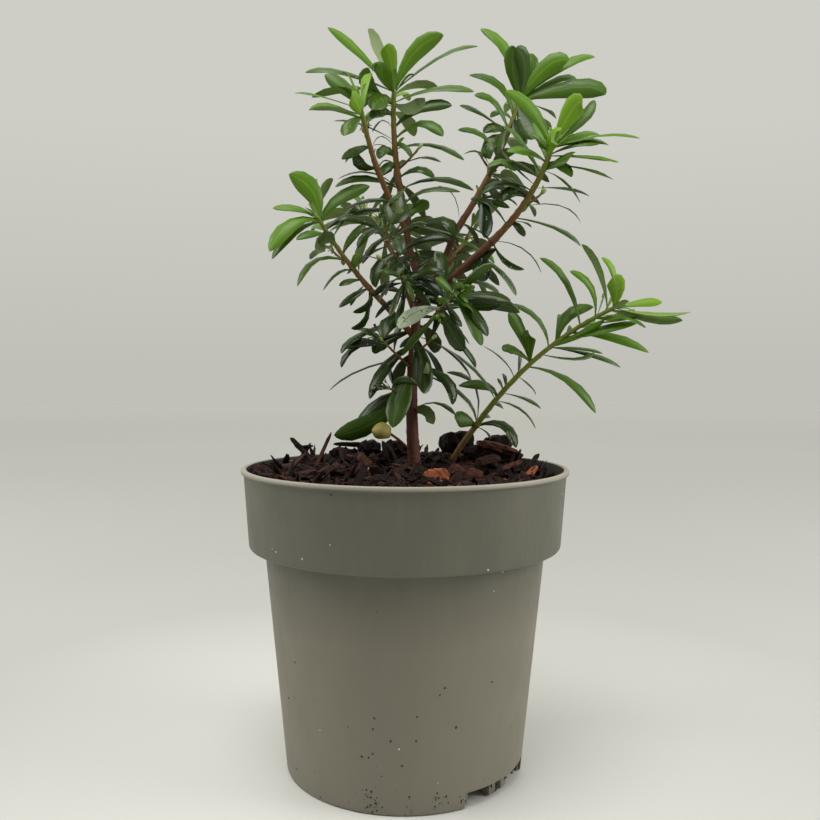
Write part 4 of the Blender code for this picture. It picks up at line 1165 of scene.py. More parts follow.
def shownOnWall(pixels):
    # The azimuth and height of the places of the pot's outside that show at these pixels: the depth is
    # stepped to -sqrt(R(z)^2 - x^2) until it settles
    pixels = np.array(pixels, float)
    depth = np.full(len(pixels), -50.0)
    for _ in range(8):
        x, _, z = atPixels(pixels, depth).T
        radius = np.where(z < pot["collarHeight"], wallRadius(z), collarRadius(z))
        depth = -np.sqrt(np.maximum(1.0, radius**2 - x**2))
    return np.degrees(np.arctan2(x, -depth)), np.maximum(z, 0.8)


def addCrumbs(name, middles, sizes, out, skin, rng):
    points, faces = crumbShapes(middles, sizes, out, rng)
    addPiece(name, points, [faces], [skin], smooth=False)


def buildSpecks(soilSkin, paleSkin):
    rng = np.random.default_rng(seeds["specks"])
    azimuth = rng.uniform(-180, 180, specks["soil"])
    height = 1.0 + rng.exponential(16.0, specks["soil"]) % 84
    patches = np.array([patch[:2] for patch in soilPatches for _ in range(patch[2])], float)
    patches = patches + rng.normal(0, specks["patchReach"], patches.shape)
    found = shownOnWall(np.concatenate([darkDots, patches]))
    middles, out = onWall(np.concatenate([azimuth, found[0]]), np.concatenate([height, found[1]]))
    small, large = specks["soilSize"]
    sizes = small + (large - small) * rng.random(len(middles)) ** 3
    sizes[len(azimuth) : len(azimuth) + len(darkDots)] = specks["dotSize"]
    addCrumbs("soil_specks", middles, sizes, out, soilSkin, rng)
    # Soil caught on the ribs of the arches and under the plate
    ribs = np.degrees(np.array(pot["ribOffsets"]) / pot["baseRadius"])
    ribs = np.repeat((np.array(pot["archAzimuths"])[:, None] + ribs).ravel(), specks["clods"])
    azimuth = ribs + rng.normal(0, 3.2, len(ribs))
    middles, out = onWall(azimuth, rng.uniform(1.6, pot["channelHeight"], len(azimuth)))
    middles = middles - out * rng.uniform(0.8, 4.5, (len(out), 1))
    sizes = rng.uniform(*specks["clodSize"], len(out))
    addCrumbs("arch_soil", middles, sizes, out, soilSkin, rng)
    found = shownOnWall(paleFlecks)
    azimuth = np.concatenate([found[0], rng.uniform(90, 270, specks["pale"])])
    height = np.concatenate([found[1], rng.uniform(8, 112, specks["pale"])])
    middles, out = onWall(azimuth, height)
    sizes = rng.uniform(*specks["paleSize"], len(azimuth))
    addCrumbs("pale_flecks", middles, sizes, out, paleSkin, rng)


# Buds, small side sprigs and single leaves: a whorl's opening in degrees at its middle and outside
budLook = dict(
    leaves=6, spread=(5.0, 26.0), size=0.42, small=0.35, coreLength=2.6, coreRadius=0.75, lumpy=0.0,
)
sprigLook = dict(
    each=5, fromTip=9.0, leaves=4, size=(3.5, 7.0), small=0.5, spread=(14.0, 52.0), reach=2.4,
    radii=(0.35, 0.28), ripe=(0.6, 0.95),
)


def budLeaves(points, axes, sizes, phases, look, number):
    # A whorl of small leaves round each point: leaf i stands i golden turns round the axis, opened by
    # low + (high - low) * age and as long as size * (small + (1 - small) * age)
    side, above = across(axes)
    index = np.arange(look["leaves"])
    age = (index + 0.5) / look["leaves"]
    outward = around(phases[:, None] + goldenTurn * index, side[:, None], above[:, None])
    low, high = look["spread"]
    spread = np.radians(low + (high - low) * age)[None, :, None]
    axis = np.repeat(axes[:, None], len(index), 1)
    length = (sizes[:, None] * (look["small"] + (1 - look["small"]) * age)).ravel()
    root = points[:, None] - axes[:, None] * (0.35 * index)[None, :, None]
    outwards, ages = outward.reshape(-1, 3), np.tile(age, len(points))
    wobble = np.random.default_rng(seeds["buds"] + number).uniform(-1, 1, (len(ages), 3))
    return dict(
        root=root.reshape(-1, 3),
        axis=axis.reshape(-1, 3),
        outward=outwards,
        first=(np.cos(spread) * axis + np.sin(spread) * outward).reshape(-1, 3),
        pull=unit(0.35 * outwards + [0, 0, -0.75]),
        length=length * (1 + 0.12 * wobble[:, 0]),
        width=length * 0.24 * (1 + 0.15 * wobble[:, 1]),
        bend=0.12 + 0.25 * ages + 0.1 * wobble[:, 2],
        roll=0.3 * wobble[:, 0],
        age=ages,
        below=np.zeros(len(ages)),
        shoot=np.zeros(len(ages), int),
    )


def sprigsOf(leaves, number):
    # Where small side sprigs stand: in the axil of every few leaves, away from the tip
    rng = np.random.default_rng(seeds["axils"] + number)
    old = np.flatnonzero(leaves["below"] > sprigLook["fromTip"])
    chosen = old[rng.integers(0, sprigLook["each"]) :: sprigLook["each"]]
    if not len(chosen):
        return None
    axis, outward = leaves["axis"][chosen], leaves["outward"][chosen]
    axes = unit(axis + 0.9 * outward)
    roots = leaves["root"][chosen] + 0.9 * axis + 0.5 * outward
    sizes = rng.uniform(*sprigLook["size"], len(chosen))
    points = roots + axes * sprigLook["reach"] * rng.random((len(chosen), 1))
    return points, axes, sizes, rng.uniform(0, math.tau, len(chosen)), roots


view = dict(place=(0.0, -347.0, 157.2), focal=865.0, frame=820.0, pitch=2.49, yaw=0.30, roll=0.25)
# Leaves that the photograph shows, by mass and by the limb, or the number of the shoot, that carries
# them. Root, middle and tip are places in its 820 pixels. Then come how far the tip reaches to the
# front, the width, the stage, and the angle from the arching side to the viewer that the upper side is
# turned.
photoLeaves = {
    ("foliage_left_leader", "0"): (
        (388, 92, 361, 53, 330, 25, 6, 6.5, 2, 45), (389, 85, 382, 52, 370, 29, -8, 7.5, 0, -60),
        (392, 82, 391, 62, 386, 45, 9, 6.5, 1, 75), (391, 92, 384, 80, 380, 64, 14, 8, 2, 60),
        (398, 84, 413, 54, 441, 33, 4, 7.5, 2, 75), (400, 88, 438, 57, 476, 42, -3, 6, 3, 16),
        (398, 103, 434, 88, 474, 88, 6, 7, 3, 30), (396, 95, 416, 83, 438, 87, -10, 5.5, 2, -35),
        (388, 92, 344, 72, 306, 68, -2, 6, 3, 24), (378, 104, 369, 88, 367, 69, 6, 6.5, 3, 65),
        (397, 128, 420, 107, 451, 103, 4, 6.5, 4, 48), (398, 139, 421, 122, 443, 134, 8, 6, 3, 42),
        (398, 149, 431, 144, 465, 157, 3, 6, 4, 28), (398, 168, 420, 157, 441, 160, -2, 5, 4, 10),
        (398, 142, 406, 147, 411, 156, 8, 4.5, 4, 60), (400, 192, 372, 172, 338, 176, 6, 5, 4, 15),
        (395, 190, 366, 177, 335, 184, 10, 5.5, 4, 40), (402, 214, 362, 210, 322, 228, 8, 6, 5, 35),
        (402, 178, 418, 168, 434, 176, 3, 6.5, 4, 35), (403, 190, 436, 178, 474, 187, -4, 5, 4, 30),
        (404, 206, 424, 190, 460, 189, 4, 4.5, 4, 30), (404, 218, 420, 206, 429, 201, -3, 5.5, 3, 35),
        (403, 210, 380, 199, 345, 206, 3, 5, 4, 20), (400, 164, 388, 164, 382, 174, 6, 4.5, 4, 50),
        (392, 104, 372, 95, 360, 108, 10, 6.5, 3, 60), (391, 100, 352, 86, 316, 92, 5, 5, 3, 30),
        (398, 104, 411, 109, 425, 100, 10, 6.5, 4, -60), (391, 92, 384, 70, 371, 64, 12, 6, 0, -50),
        (396, 140, 362, 124, 334, 118, -3, 3.5, 4, 10), (394, 116, 382, 110, 370, 117, 8, 6, 4, 60),
        (391, 131, 383, 120, 372, 131, 2, 2.4, 4, 10), (392, 148, 382, 136, 373, 144, -2, 2.2, 4, 10),
        (392, 154, 384, 145, 372, 145, 1, 2.2, 4, 10), (392, 158, 385, 149, 379, 158, 6, 5.5, 4, 60),
        (393, 166, 385, 160, 378, 168, 3, 2.4, 4, 10), (394, 168, 388, 166, 382, 175, 5, 5.5, 5, 60),
        (396, 104, 383, 98, 372, 108, 12, 8, 3, 65),
    ),
    ("foliage_left_side", "0"): (
        (362, 106, 346, 88, 326, 73, -2, 7, 3, 60), (352, 111, 322, 96, 295, 90, 0, 5, 2, 12),
        (364, 115, 335, 108, 310, 107, 4, 5, 3, 18), (376, 97, 345, 89, 312, 95, -5, 4, 2, -25),
        (363, 117, 358, 105, 352, 92, 9, 6.5, 1, 65), (361, 117, 351, 124, 343, 135, 6, 5.5, 3, 75),
        (374, 146, 357, 149, 341, 158, 2, 5.5, 4, 45), (374, 176, 361, 166, 356, 153, 3, 5, 5, 60),
    ),
    ("foliage_left_low", "0"): (
        (321, 219, 313, 192, 291, 173, 3, 8.5, 2, 75), (321, 212, 320, 195, 331, 178, -10, 5, 2, -50),
        (316, 220, 298, 208, 273, 206, 2, 5.5, 2, 30), (318, 222, 292, 222, 268, 249, 8, 8, 2, 45),
        (316, 224, 292, 232, 270, 257, 4, 6.5, 3, 40), (330, 240, 316, 232, 296, 238, 8, 5, 3, 30),
        (334, 244, 325, 238, 316, 252, 12, 8, 4, -60), (346, 262, 316, 259, 296, 284, 6, 5.5, 3, 28),
        (352, 272, 338, 272, 322, 289, 3, 4.5, 4, 18), (360, 282, 350, 280, 339, 285, 4, 4.5, 4, 40),
        (321, 224, 335, 200, 368, 184, -4, 7, 3, 50), (347, 252, 350, 238, 365, 222, 0, 5.5, 4, 45),
        (356, 270, 353, 262, 359, 254, 4, 4.5, 3, 50), (372, 295, 355, 294, 338, 306, 2, 5, 5, 35),
        (383, 300, 370, 305, 354, 313, 2, 4.5, 5, 35), (380, 313, 367, 319, 353, 329, 0, 4.2, 5, 25),
    ),
    ("foliage_centre_leader", "0"): (
        (522, 108, 511, 56, 484, 27, -4, 7.5, 2, 45), (520, 100, 513, 70, 512, 46, 8, 8, 3, 70),
        (524, 100, 525, 68, 518, 47, 12, 7, 4, 65), (528, 92, 533, 72, 531, 54, -3, 5.5, 3, 60),
        (530, 96, 545, 68, 567, 58, 4, 8.5, 2, 75), (535, 97, 562, 65, 593, 53, -3, 6.5, 2, 35),
        (545, 106, 575, 87, 605, 91, 4, 9.5, 3, 62), (540, 98, 562, 77, 577, 82, -8, 5, 3, 20),
        (515, 118, 501, 85, 471, 73, 0, 6.5, 3, 38), (505, 130, 496, 102, 476, 94, 4, 6, 3, 40),
        (505, 132, 483, 114, 461, 103, 0, 5, 4, 25), (495, 155, 482, 134, 459, 128, 0, 5, 3, 30),
        (488, 168, 480, 152, 464, 153, 0, 4, 4, 10), (540, 105, 548, 110, 556, 117, 6, 4, 4, 40),
        (524, 108, 526, 122, 534, 138, 10, 8, 4, 70), (514, 118, 520, 130, 524, 146, 8, 7, 5, 60),
        (500, 132, 490, 142, 489, 158, 6, 6.5, 4, 70), (508, 124, 499, 140, 498, 156, 8, 6, 4, 60),
        (490, 168, 502, 160, 516, 170, 3, 5.5, 3, 35), (478, 190, 498, 184, 520, 186, 4, 5.5, 5, 25),
        (470, 205, 488, 200, 510, 206, 3, 5, 5, 30), (482, 190, 486, 212, 487, 238, 10, 6.5, 6, 75),
        (460, 226, 455, 197, 439, 185, 2, 2.6, 4, 10), (505, 132, 495, 126, 484, 132, 2, 6.5, 4, 50),
    ),
    ("foliage_right_leader", "0"): (
        (549, 150, 536, 112, 508, 89, 4, 7.5, 2, 50), (559, 140, 570, 113, 581, 100, 4, 8.5, 1, 78),
        (560, 142, 583, 120, 598, 101, -6, 5, 3, 15), (551, 158, 552, 140, 556, 130, 14, 7, 1, 65),
        (560, 150, 598, 135, 640, 134, 0, 6, 2, 16), (560, 145, 580, 134, 600, 132, -8, 4.5, 2, 10),
        (562, 150, 585, 140, 609, 142, -5, 4.5, 3, 12), (556, 158, 590, 156, 619, 160, 4, 7.5, 2, 32),
        (550, 165, 585, 168, 614, 177, 4, 6, 3, 28), (545, 172, 560, 160, 575, 152, 8, 6.5, 3, 50),
        (541, 160, 527, 150, 508, 150, 6, 6.5, 2, 45), (548, 173, 564, 180, 582, 201, 4, 5, 4, 20),
        (538, 178, 512, 160, 487, 165, 6, 5, 3, 30), (532, 184, 515, 168, 500, 152, 5, 4, 4, 30),
        (530, 190, 505, 181, 481, 192, 4, 5.5, 5, 30), (541, 192, 566, 188, 590, 194, 3, 3, 4, 14),
        (528, 210, 560, 205, 582, 221, -2, 2.8, 4, 10), (494, 246, 523, 248, 543, 271, 0, 3.6, 4, 14),
        (518, 221, 556, 227, 582, 243, 2, 6.5, 4, 26), (551, 156, 575, 144, 600, 141, 2, 5.5, 3, 30),
        (486, 254, 504, 262, 523, 271, 2, 4.5, 4, 25), (508, 222, 518, 225, 525, 236, 3, 4.5, 5, 45),
        (550, 152, 540, 140, 530, 134, 6, 7, 3, 50), (548, 165, 562, 164, 572, 176, 4, 6, 3, 50),
        (524, 196, 512, 190, 503, 200, 5, 6, 5, 55),
    ),
    ("foliage_right_basal", "0"): (
        (575, 318, 567, 281, 543, 256, 0, 5.5, 3, 42),
        (604, 305, 601, 272, 585, 243, -6, 4.5, 2, -40), (592, 312, 592, 287, 572, 270, 3, 5, 2, 45),
        (616, 300, 615, 275, 604, 257, 0, 4.2, 1, 45), (617, 303, 617, 290, 614, 276, 10, 7.5, 1, 78),
        (616, 304, 640, 302, 662, 300, 0, 5.5, 1, 40), (618, 306, 650, 315, 692, 316, 25, 4, 1, 15),
        (610, 312, 650, 318, 684, 322, 20, 5, 2, 25), (575, 340, 612, 336, 650, 349, 3, 6, 2, 45),
        (553, 352, 580, 348, 603, 351, 0, 4.5, 2, 20), (545, 360, 575, 360, 594, 355, 4, 5, 3, 30),
        (553, 352, 590, 354, 622, 364, -4, 4, 3, 10), (530, 369, 568, 379, 598, 410, 4, 6, 3, 35),
        (521, 380, 530, 385, 537, 394, 0, 3.5, 4, 15), (505, 396, 525, 398, 542, 407, 0, 4, 4, 15),
        (500, 405, 520, 408, 537, 427, 2, 4, 4, 15), (558, 342, 567, 315, 592, 305, -6, 6.5, 3, 50),
        (546, 345, 539, 319, 512, 302, 0, 5.5, 3, 28), (524, 355, 521, 330, 510, 312, 4, 6.5, 3, 60),
        (525, 357, 528, 344, 528, 332, 6, 6.5, 3, 65), (523, 354, 514, 349, 504, 350, 3, 5.5, 3, 55),
        (512, 377, 506, 362, 484, 344, -2, 4.5, 4, 10), (503, 393, 502, 385, 498, 378, 0, 3, 4, 20),
        (497, 398, 487, 385, 459, 384, 3, 5.5, 4, 40), (600, 318, 624, 316, 647, 326, 12, 5, 2, 30),
        (565, 345, 600, 329, 637, 319, 8, 6.5, 2, 35), (552, 350, 578, 337, 606, 322, 6, 5, 2, 45),
        (585, 330, 612, 322, 640, 317, 8, 5.5, 2, 35), (596, 322, 618, 318, 636, 312, -4, 5, 1, 40),
    ),
    ("foliage_right_basal", "bough_right_basal"): (
        (486, 411, 476, 386, 449, 371, 0, 4.5, 5, 14), (478, 427, 466, 420, 455, 417, 4, 7.5, 3, 75),
        (484, 424, 504, 424, 517, 446, 4, 6.5, 5, 42), (480, 427, 487, 432, 491, 439, 0, 3, 5, 15),
    ),
    ("foliage_trunk_left", "trunk"): (
        (410, 343, 386, 365, 367, 397, 6, 6.5, 5, 50), (410, 357, 366, 367, 327, 387, -2, 5, 5, 5),
        (411, 352, 400, 366, 396, 382, -4, 7, 5, -50), (410, 330, 385, 340, 375, 352, 2, 7, 5, 55),
        (410, 315, 362, 333, 340, 350, 4, 5.5, 5, 42), (410, 330, 360, 344, 340, 364, 2, 5, 5, 24),
    ),
    ("foliage_trunk_low", "trunk"): (
        (412, 376, 402, 392, 391, 426, 14, 9.5, 4, 72), (410, 394, 377, 421, 336, 439, 6, 9, 4, 66),
        (410, 390, 381, 402, 352, 428, -4, 7.5, 5, 60), (414, 410, 436, 402, 456, 413, 6, 4.5, 5, 15),
        (413, 413, 426, 410, 434, 423, 8, 7, 3, -55), (416, 365, 446, 378, 454, 403, 4, 6, 5, 50),
        (416, 370, 460, 392, 479, 421, -2, 4.5, 5, 15),
    ),
    ("foliage_trunk_right", "trunk"): (
        (418, 335, 422, 362, 427, 394, 14, 8.2, 5, 82),
        (424, 372, 424, 376, 428, 364, 15, 2.4, 0, 80), (418, 325, 432, 335, 435, 352, -6, 7, 5, -60),
        (418, 335, 462, 358, 498, 395, -4, 4.5, 5, 12),
    ),
    ("foliage_heart_right", "0"): (
        (440, 305, 450, 330, 463, 351, 8, 7.5, 5, 65), (440, 320, 465, 348, 478, 366, -2, 4, 5, 15),
        (456, 298, 472, 320, 483, 345, 10, 6, 4, 60), (437, 305, 418, 311, 398, 326, 12, 7, 7, 62),
        (412, 300, 395, 318, 383, 336, 10, 7, 5, 60), (448, 298, 480, 293, 511, 298, 8, 6.2, 5, 38),
        (450, 302, 478, 306, 508, 303, 2, 6.5, 5, 45), (455, 297, 447, 286, 436, 277, 4, 4, 3, 50),
        (456, 297, 466, 293, 474, 286, 8, 4, 3, 50), (456, 298, 458, 288, 462, 281, 10, 4, 2, 60),
        (455, 300, 446, 302, 438, 299, 8, 4, 3, 50), (457, 300, 466, 304, 474, 312, 8, 4, 3, 55),
        (462, 300, 477, 314, 489, 335, 3, 7, 5, 45), (446, 303, 454, 314, 463, 326, 0, 5, 5, 40),
    ),
    ("foliage_heart_right", "bough_centre_leader"): (
        (438, 290, 420, 284, 400, 290, 10, 5, 6, 25),
    ),
    ("foliage_heart_right", "bough_right_leader"): (
        (455, 284, 470, 262, 495, 247, 8, 7, 5, 55), (455, 286, 478, 281, 500, 291, 2, 5, 4, 25),
        (484, 262, 503, 273, 518, 294, 4, 5, 4, 40), (482, 256, 487, 266, 479, 279, 6, 7, 6, 60),
    ),
    ("foliage_heart_left", "bough_left_leader"): (
        (408, 252, 381, 262, 374, 286, 8, 5.5, 5, 60), (408, 240, 381, 239, 361, 262, 3, 6, 5, 25),
        (406, 232, 374, 229, 357, 246, 3, 5.5, 4, 35), (410, 232, 443, 219, 456, 236, 8, 6.5, 5, 50),
        (408, 224, 448, 233, 487, 252, 6, 5, 4, 25),
    ),
    ("foliage_heart_left", "0"): (
        (403, 190, 398, 205, 391, 223, 12, 10, 5, 80), (412, 262, 400, 262, 388, 272, 8, 7, 5, 55),
    ),
}
# How the placed leaves stand: how much of the reach the middle takes, and the least bow over length
# that still tells which way a leaf arches
placing = dict(middleReach=0.45, leastBow=0.03)
# Where the photograph shows the wall through the crown: middles and half widths and heights. A leaf
# that the rule grows is left out where much of it would show there.
openPlaces = (
    (443, 114, 14, 10), (482, 119, 17, 10), (472, 171, 11, 11), (443, 210, 15, 14), (406, 183, 8, 17),
    (372, 183, 9, 18), (502, 219, 9, 17), (513, 236, 14, 12), (510, 256, 14, 15), (563, 190, 20, 10),
    (546, 222, 16, 16), (346, 277, 9, 9), (364, 305, 9, 22), (385, 352, 15, 15), (438, 335, 9, 11),
    (474, 400, 7, 20), (384, 150, 9, 18), (352, 107, 9, 14), (425, 150, 22, 26), (462, 226, 9, 16),
    (366, 165, 10, 12), (385, 415, 12, 14), (443, 112, 20, 10), (468, 143, 14, 12), (453, 198, 13, 20),
    (464, 224, 9, 22), (501, 219, 10, 20), (622, 329, 16, 8), (376, 427, 10, 13), (560, 356, 14, 5),
    (594, 148, 20, 6), (530, 322, 14, 12), (480, 284, 12, 6), (455, 174, 25, 5), (372, 269, 9, 11),
    (385, 252, 15, 7), (375, 243, 13, 4), (352, 240, 11, 12), (463, 200, 8, 20), (470, 140, 14, 12),
)
# Places along a leaf that are looked at there, and the share of them that may show
gapCheck = dict(along=(0.4, 0.55, 0.7, 0.85, 1.0), share=0.35)
# The yellow bud at the foot of the trunk: its foot and the middle of its stalk in the photograph, its
# depth, its length and the way it points
footBud = dict(
    stalk=((408, 448), (399, 440), (388, 432)),
    depths=(4.0, 1.0, -1.0),
    radii=(0.6, 0.55),
    ripe=(0.0, 0.3),
    way=(-1.0, -0.35, 0.1),
    coreLength=7.4,
    coreRadius=3.3,
    lumpy=0.12,
)


def cameraAxes():
    # Right, ahead and up: turned by yaw about Z, then pitch about X, then roll about the view
    turned = np.eye(3)
    for name, first, second in (("yaw", 1, 0), ("pitch", 2, 1), ("roll", 0, 2)):
        angle = math.radians(view[name])
        step = np.eye(3)
        step[[first, second], [first, second]] = math.cos(angle)
        step[first, second], step[second, first] = math.sin(angle), -math.sin(angle)
        turned = step @ turned
    return turned


def pixelsOf(points):
    # Where points show in the photograph
    right, ahead, up = ((points - view["place"]) @ axis for axis in cameraAxes())
    middle = view["frame"] / 2
    return np.stack([middle + view["focal"] * right / ahead, middle - view["focal"] * up / ahead], -1)


def atPixels(pixels, depth):
    # The points that show at these pixels and lie at this distance along Y
    right, ahead, up = cameraAxes()
    across, above = ((pixels - view["frame"] / 2) / view["focal"]).T
    ray = across[:, None] * right + ahead - above[:, None] * up
    place = np.array(view["place"])
    return place + ray * ((depth - place[1]) / ray[:, 1])[:, None]


def tracedLeaves(path, rows):
    # Leaves through the places of the photograph, each rooted on the nearest point of its carrier's path
    rows = np.array(rows, float)
    gaps = np.linalg.norm(pixelsOf(path)[None] - rows[:, None, 0:2], axis=-1)
    root = path[gaps.argmin(1)]
    middle = atPixels(rows[:, 2:4], root[:, 1] - placing["middleReach"] * rows[:, 6])
    tip = atPixels(rows[:, 4:6], root[:, 1] - rows[:, 6])
    length = np.linalg.norm(tip - root, axis=1)
    half = (root + tip) / 2
    bow = middle - half
    bowed = np.linalg.norm(bow, axis=1)[:, None] > placing["leastBow"] * length[:, None]
    arch = np.where(bowed, bow, [0.0, 0.0, 1.0])
    arch = unit(arch - (arch * (tip - root)).sum(1, keepdims=True) / length[:, None] ** 2 * (tip - root))
    return dict(
        root=root,
        tip=tip,
        control=2 * middle - half,
        arch=arch,
        facing=around(np.radians(rows[:, 9]), arch, unit(view["place"] - middle)),
        length=length,
        width=rows[:, 7] / leafLook["slimmer"],
    )


def keptBehind(leaves, reach, behind, near):
    below = leaves["below"]
    return (below > reach) | (leaves["outward"][:, 1] > behind) | (below < near)


def shownInGap(leaves):
    # Whether more than the allowed share of the places along a leaf shows in an open place
    rib = ribsOf(leaves, gapCheck["along"])[0]
    pixels = pixelsOf(rib)[:, :, None]
    places = np.array(openPlaces, float)
    inside = (((pixels - places[:, :2]) / places[:, 2:]) ** 2).sum(-1) < 1
    return inside.any(-1).mean(-1) > gapCheck["share"]


def footBudStalk():
    # The stalk that carries the bud at the trunk's foot
    return atPixels(np.array(footBud["stalk"], float), np.array(footBud["depths"]))


def budCores(points, axes, look, rows=6, sides=8):
    # The closed bud in the middle of each tip: radius(t) = r * (1 - t^2.2)^0.7 * (0.75 + t), t up its
    # length, lumpy by a wave of three round it that winds as it climbs
    t, turn = np.linspace(0, 0.97, rows), turns(sides)
    side, above = across(axes)
    radius = (look["coreRadius"] * (1 - t**2.2) ** 0.7 * (0.75 + t))[:, None]
    radius = radius * (1 + look["lumpy"] * np.cos(3 * turn + 4 * t[:, None]))
    rise = (look["coreLength"] * t - 0.6)[None, :, None, None]
    body = points[:, None, None] + axes[:, None, None] * rise
    body = body + radius[None, :, :, None] * around(turn, side[:, None], above[:, None])[:, None]
    ends = np.stack([points - 0.7 * axes, points + axes * (look["coreLength"] - 0.6)], 1)
    shape = np.concatenate([body.reshape(len(points), -1, 3), ends], 1)
    faces = [repeated(kind, len(points), shape.shape[1]) for kind in tubeFaces(rows, sides, flip=True)]
    return shape.reshape(-1, 3), faces


def buildFoliage(grown, grownLimbs, skins):
    # One piece of leaves for each mass, with the whorls at its tips and its side sprigs
    cores, stalks, drawn = [], [], []
    for number, (name, (mass, shoots, leaves)) in enumerate(grown.items()):
        rng = np.random.default_rng(seeds["stages"] + number)
        stages = stagesOf(mass, leaves, rng)
        if "keep" in mass:
            kept = keptBehind(leaves, *mass["keep"])
            leaves, stages = picked(leaves, kept), stages[kept]
        tips = np.array([path[-1] for path, _, _, _ in shoots])
        axes = unit(np.array([path[-1] - path[-4] for path, _, _, _ in shoots]))
        sizes = budLook["size"] * np.array([size for _, _, _, size in shoots])
        whorl = budLeaves(tips, axes, sizes, rng.uniform(0, math.tau, len(tips)), budLook, number)
        cores.append((tips, axes))
        young = max(1, round(mass["ages"][1]))
        groups = [leaves, whorl]
        ages = [stages, np.where(whorl["age"] < 0.3, max(0, young - 1), young)]
        found = sprigsOf(leaves, number)
        if found:
            points, ways, sizes, phases, roots = found
            groups.append(budLeaves(points, ways, sizes, phases, sprigLook, 50 + number))
            ages.append(rng.integers(young, young + 3, len(groups[-1]["length"])))
            stalks.extend(np.linspace(roots, points, 6).swapaxes(0, 1))
        leaves = gathered(groups)
        kept = ~shownInGap(leaves)
        ages = [np.clip(np.concatenate(ages), 0, oldestStage)[kept]]
        groups = [picked(leaves, kept)]
        for (shown, carrier), rows in photoLeaves.items():
            if shown == name:
                path = grownLimbs[carrier][0] if carrier in grownLimbs else shoots[int(carrier)][0]
                groups.append(tracedLeaves(path, rows))
                ages.append(np.array([row[8] for row in rows]))
        addLeaves(name.replace("foliage", "leaves"), groups, np.concatenate(ages), skins, [name])
        drawn.extend(zip(groups, ages))
    points, faces = budCores(*(np.concatenate(group) for group in zip(*cores)), budLook)
    addPiece("tip_buds", points, faces, [skins[0]])
    points, faces = budCores(footBudStalk()[-1:], unit(np.array([footBud["way"]])), footBud)
    addPiece("foot_bud", points, faces, [skins[3 * yellowStage]])
    return stalks, drawn


# Lime spots: the share of the places on older leaves and on the limed leaf, and their sizes
lime = dict(share=0.05, limedShare=0.13, least=0.16, limedLeast=0.2, spread=0.34, clear=0.04)


def buildLimeSpecks(drawn, skins):
    # Lime spots on the older leaves, and dark ones on the limed leaf: flat crumbs at chosen (u, v)
    rng = np.random.default_rng(seeds["lime"])
    u, v = np.arange(8, 38, 2) / 40, np.linspace(-0.8, 0.8, 9)
    middles, ways, limed = [], [], []
    for leaves, stages in drawn:
        points, upper, _ = bladePoints(leaves, u, v)
        upper = np.repeat(upper[:, :, None], len(v), 2)
        old = np.clip((stages - 2) / 3, 0, 1) * (stages <= oldestStage)
        chance = lime["share"] * old * (rng.random(len(stages)) < 0.5) * rng.random(len(stages))
        chance = np.where(stages == limedStage, lime["limedShare"], chance)
        chosen = rng.random(points.shape[:3]) < chance[:, None, None]
        middles.append(points[chosen] + lime["clear"] * upper[chosen])
        ways.append(upper[chosen])
        limed.append(np.broadcast_to((stages == limedStage)[:, None, None], chosen.shape)[chosen])
    middles, ways, limed = (np.concatenate(parts) for parts in (middles, ways, limed))
    sizes = lime["spread"] * rng.random(len(middles)) ** np.where(limed, 1, 3)
    sizes = np.where(limed, lime["limedLeast"], lime["least"]) + sizes
    points, faces = crumbShapes(middles, sizes, ways, rng)
    worn = np.repeat(limed.astype(int), 8)
    addPiece("lime_specks", points, [faces], skins, faceSkins=worn, smooth=False)


# Potting mix: a heap of bark chips, crumbs and fibres
mix = dict(
    rings=(  # radius and height
        (0, 116.3), (8.0, 116.3), (18.0, 116.2), (29.0, 116.0), (40.0, 115.6), (50.0, 114.8), (58.5, 113.2),
        (62.6, 110.6),
    ),
    gap=0.3,  # to the pot
    reach=61.8,  # of the chips
    bump=1.0,
    chips=1500,
    crumbs=1700,
    fibres=90,
    fibreSizes=((6, 17), (0.35, 0.8), (0.3, 0.6)),
    chipLength=(3.5, 19.0),
    chipWidth=(1.3, 4.4),
    chipDepth=(0.8, 2.2),
    steep=0.14,  # share of the chips that stand up
    trunkGap=3.0,
    steps=120,
    pile=5.2,  # extra height behind the trunk
    tilt=2.4,  # extra height of the left side
)
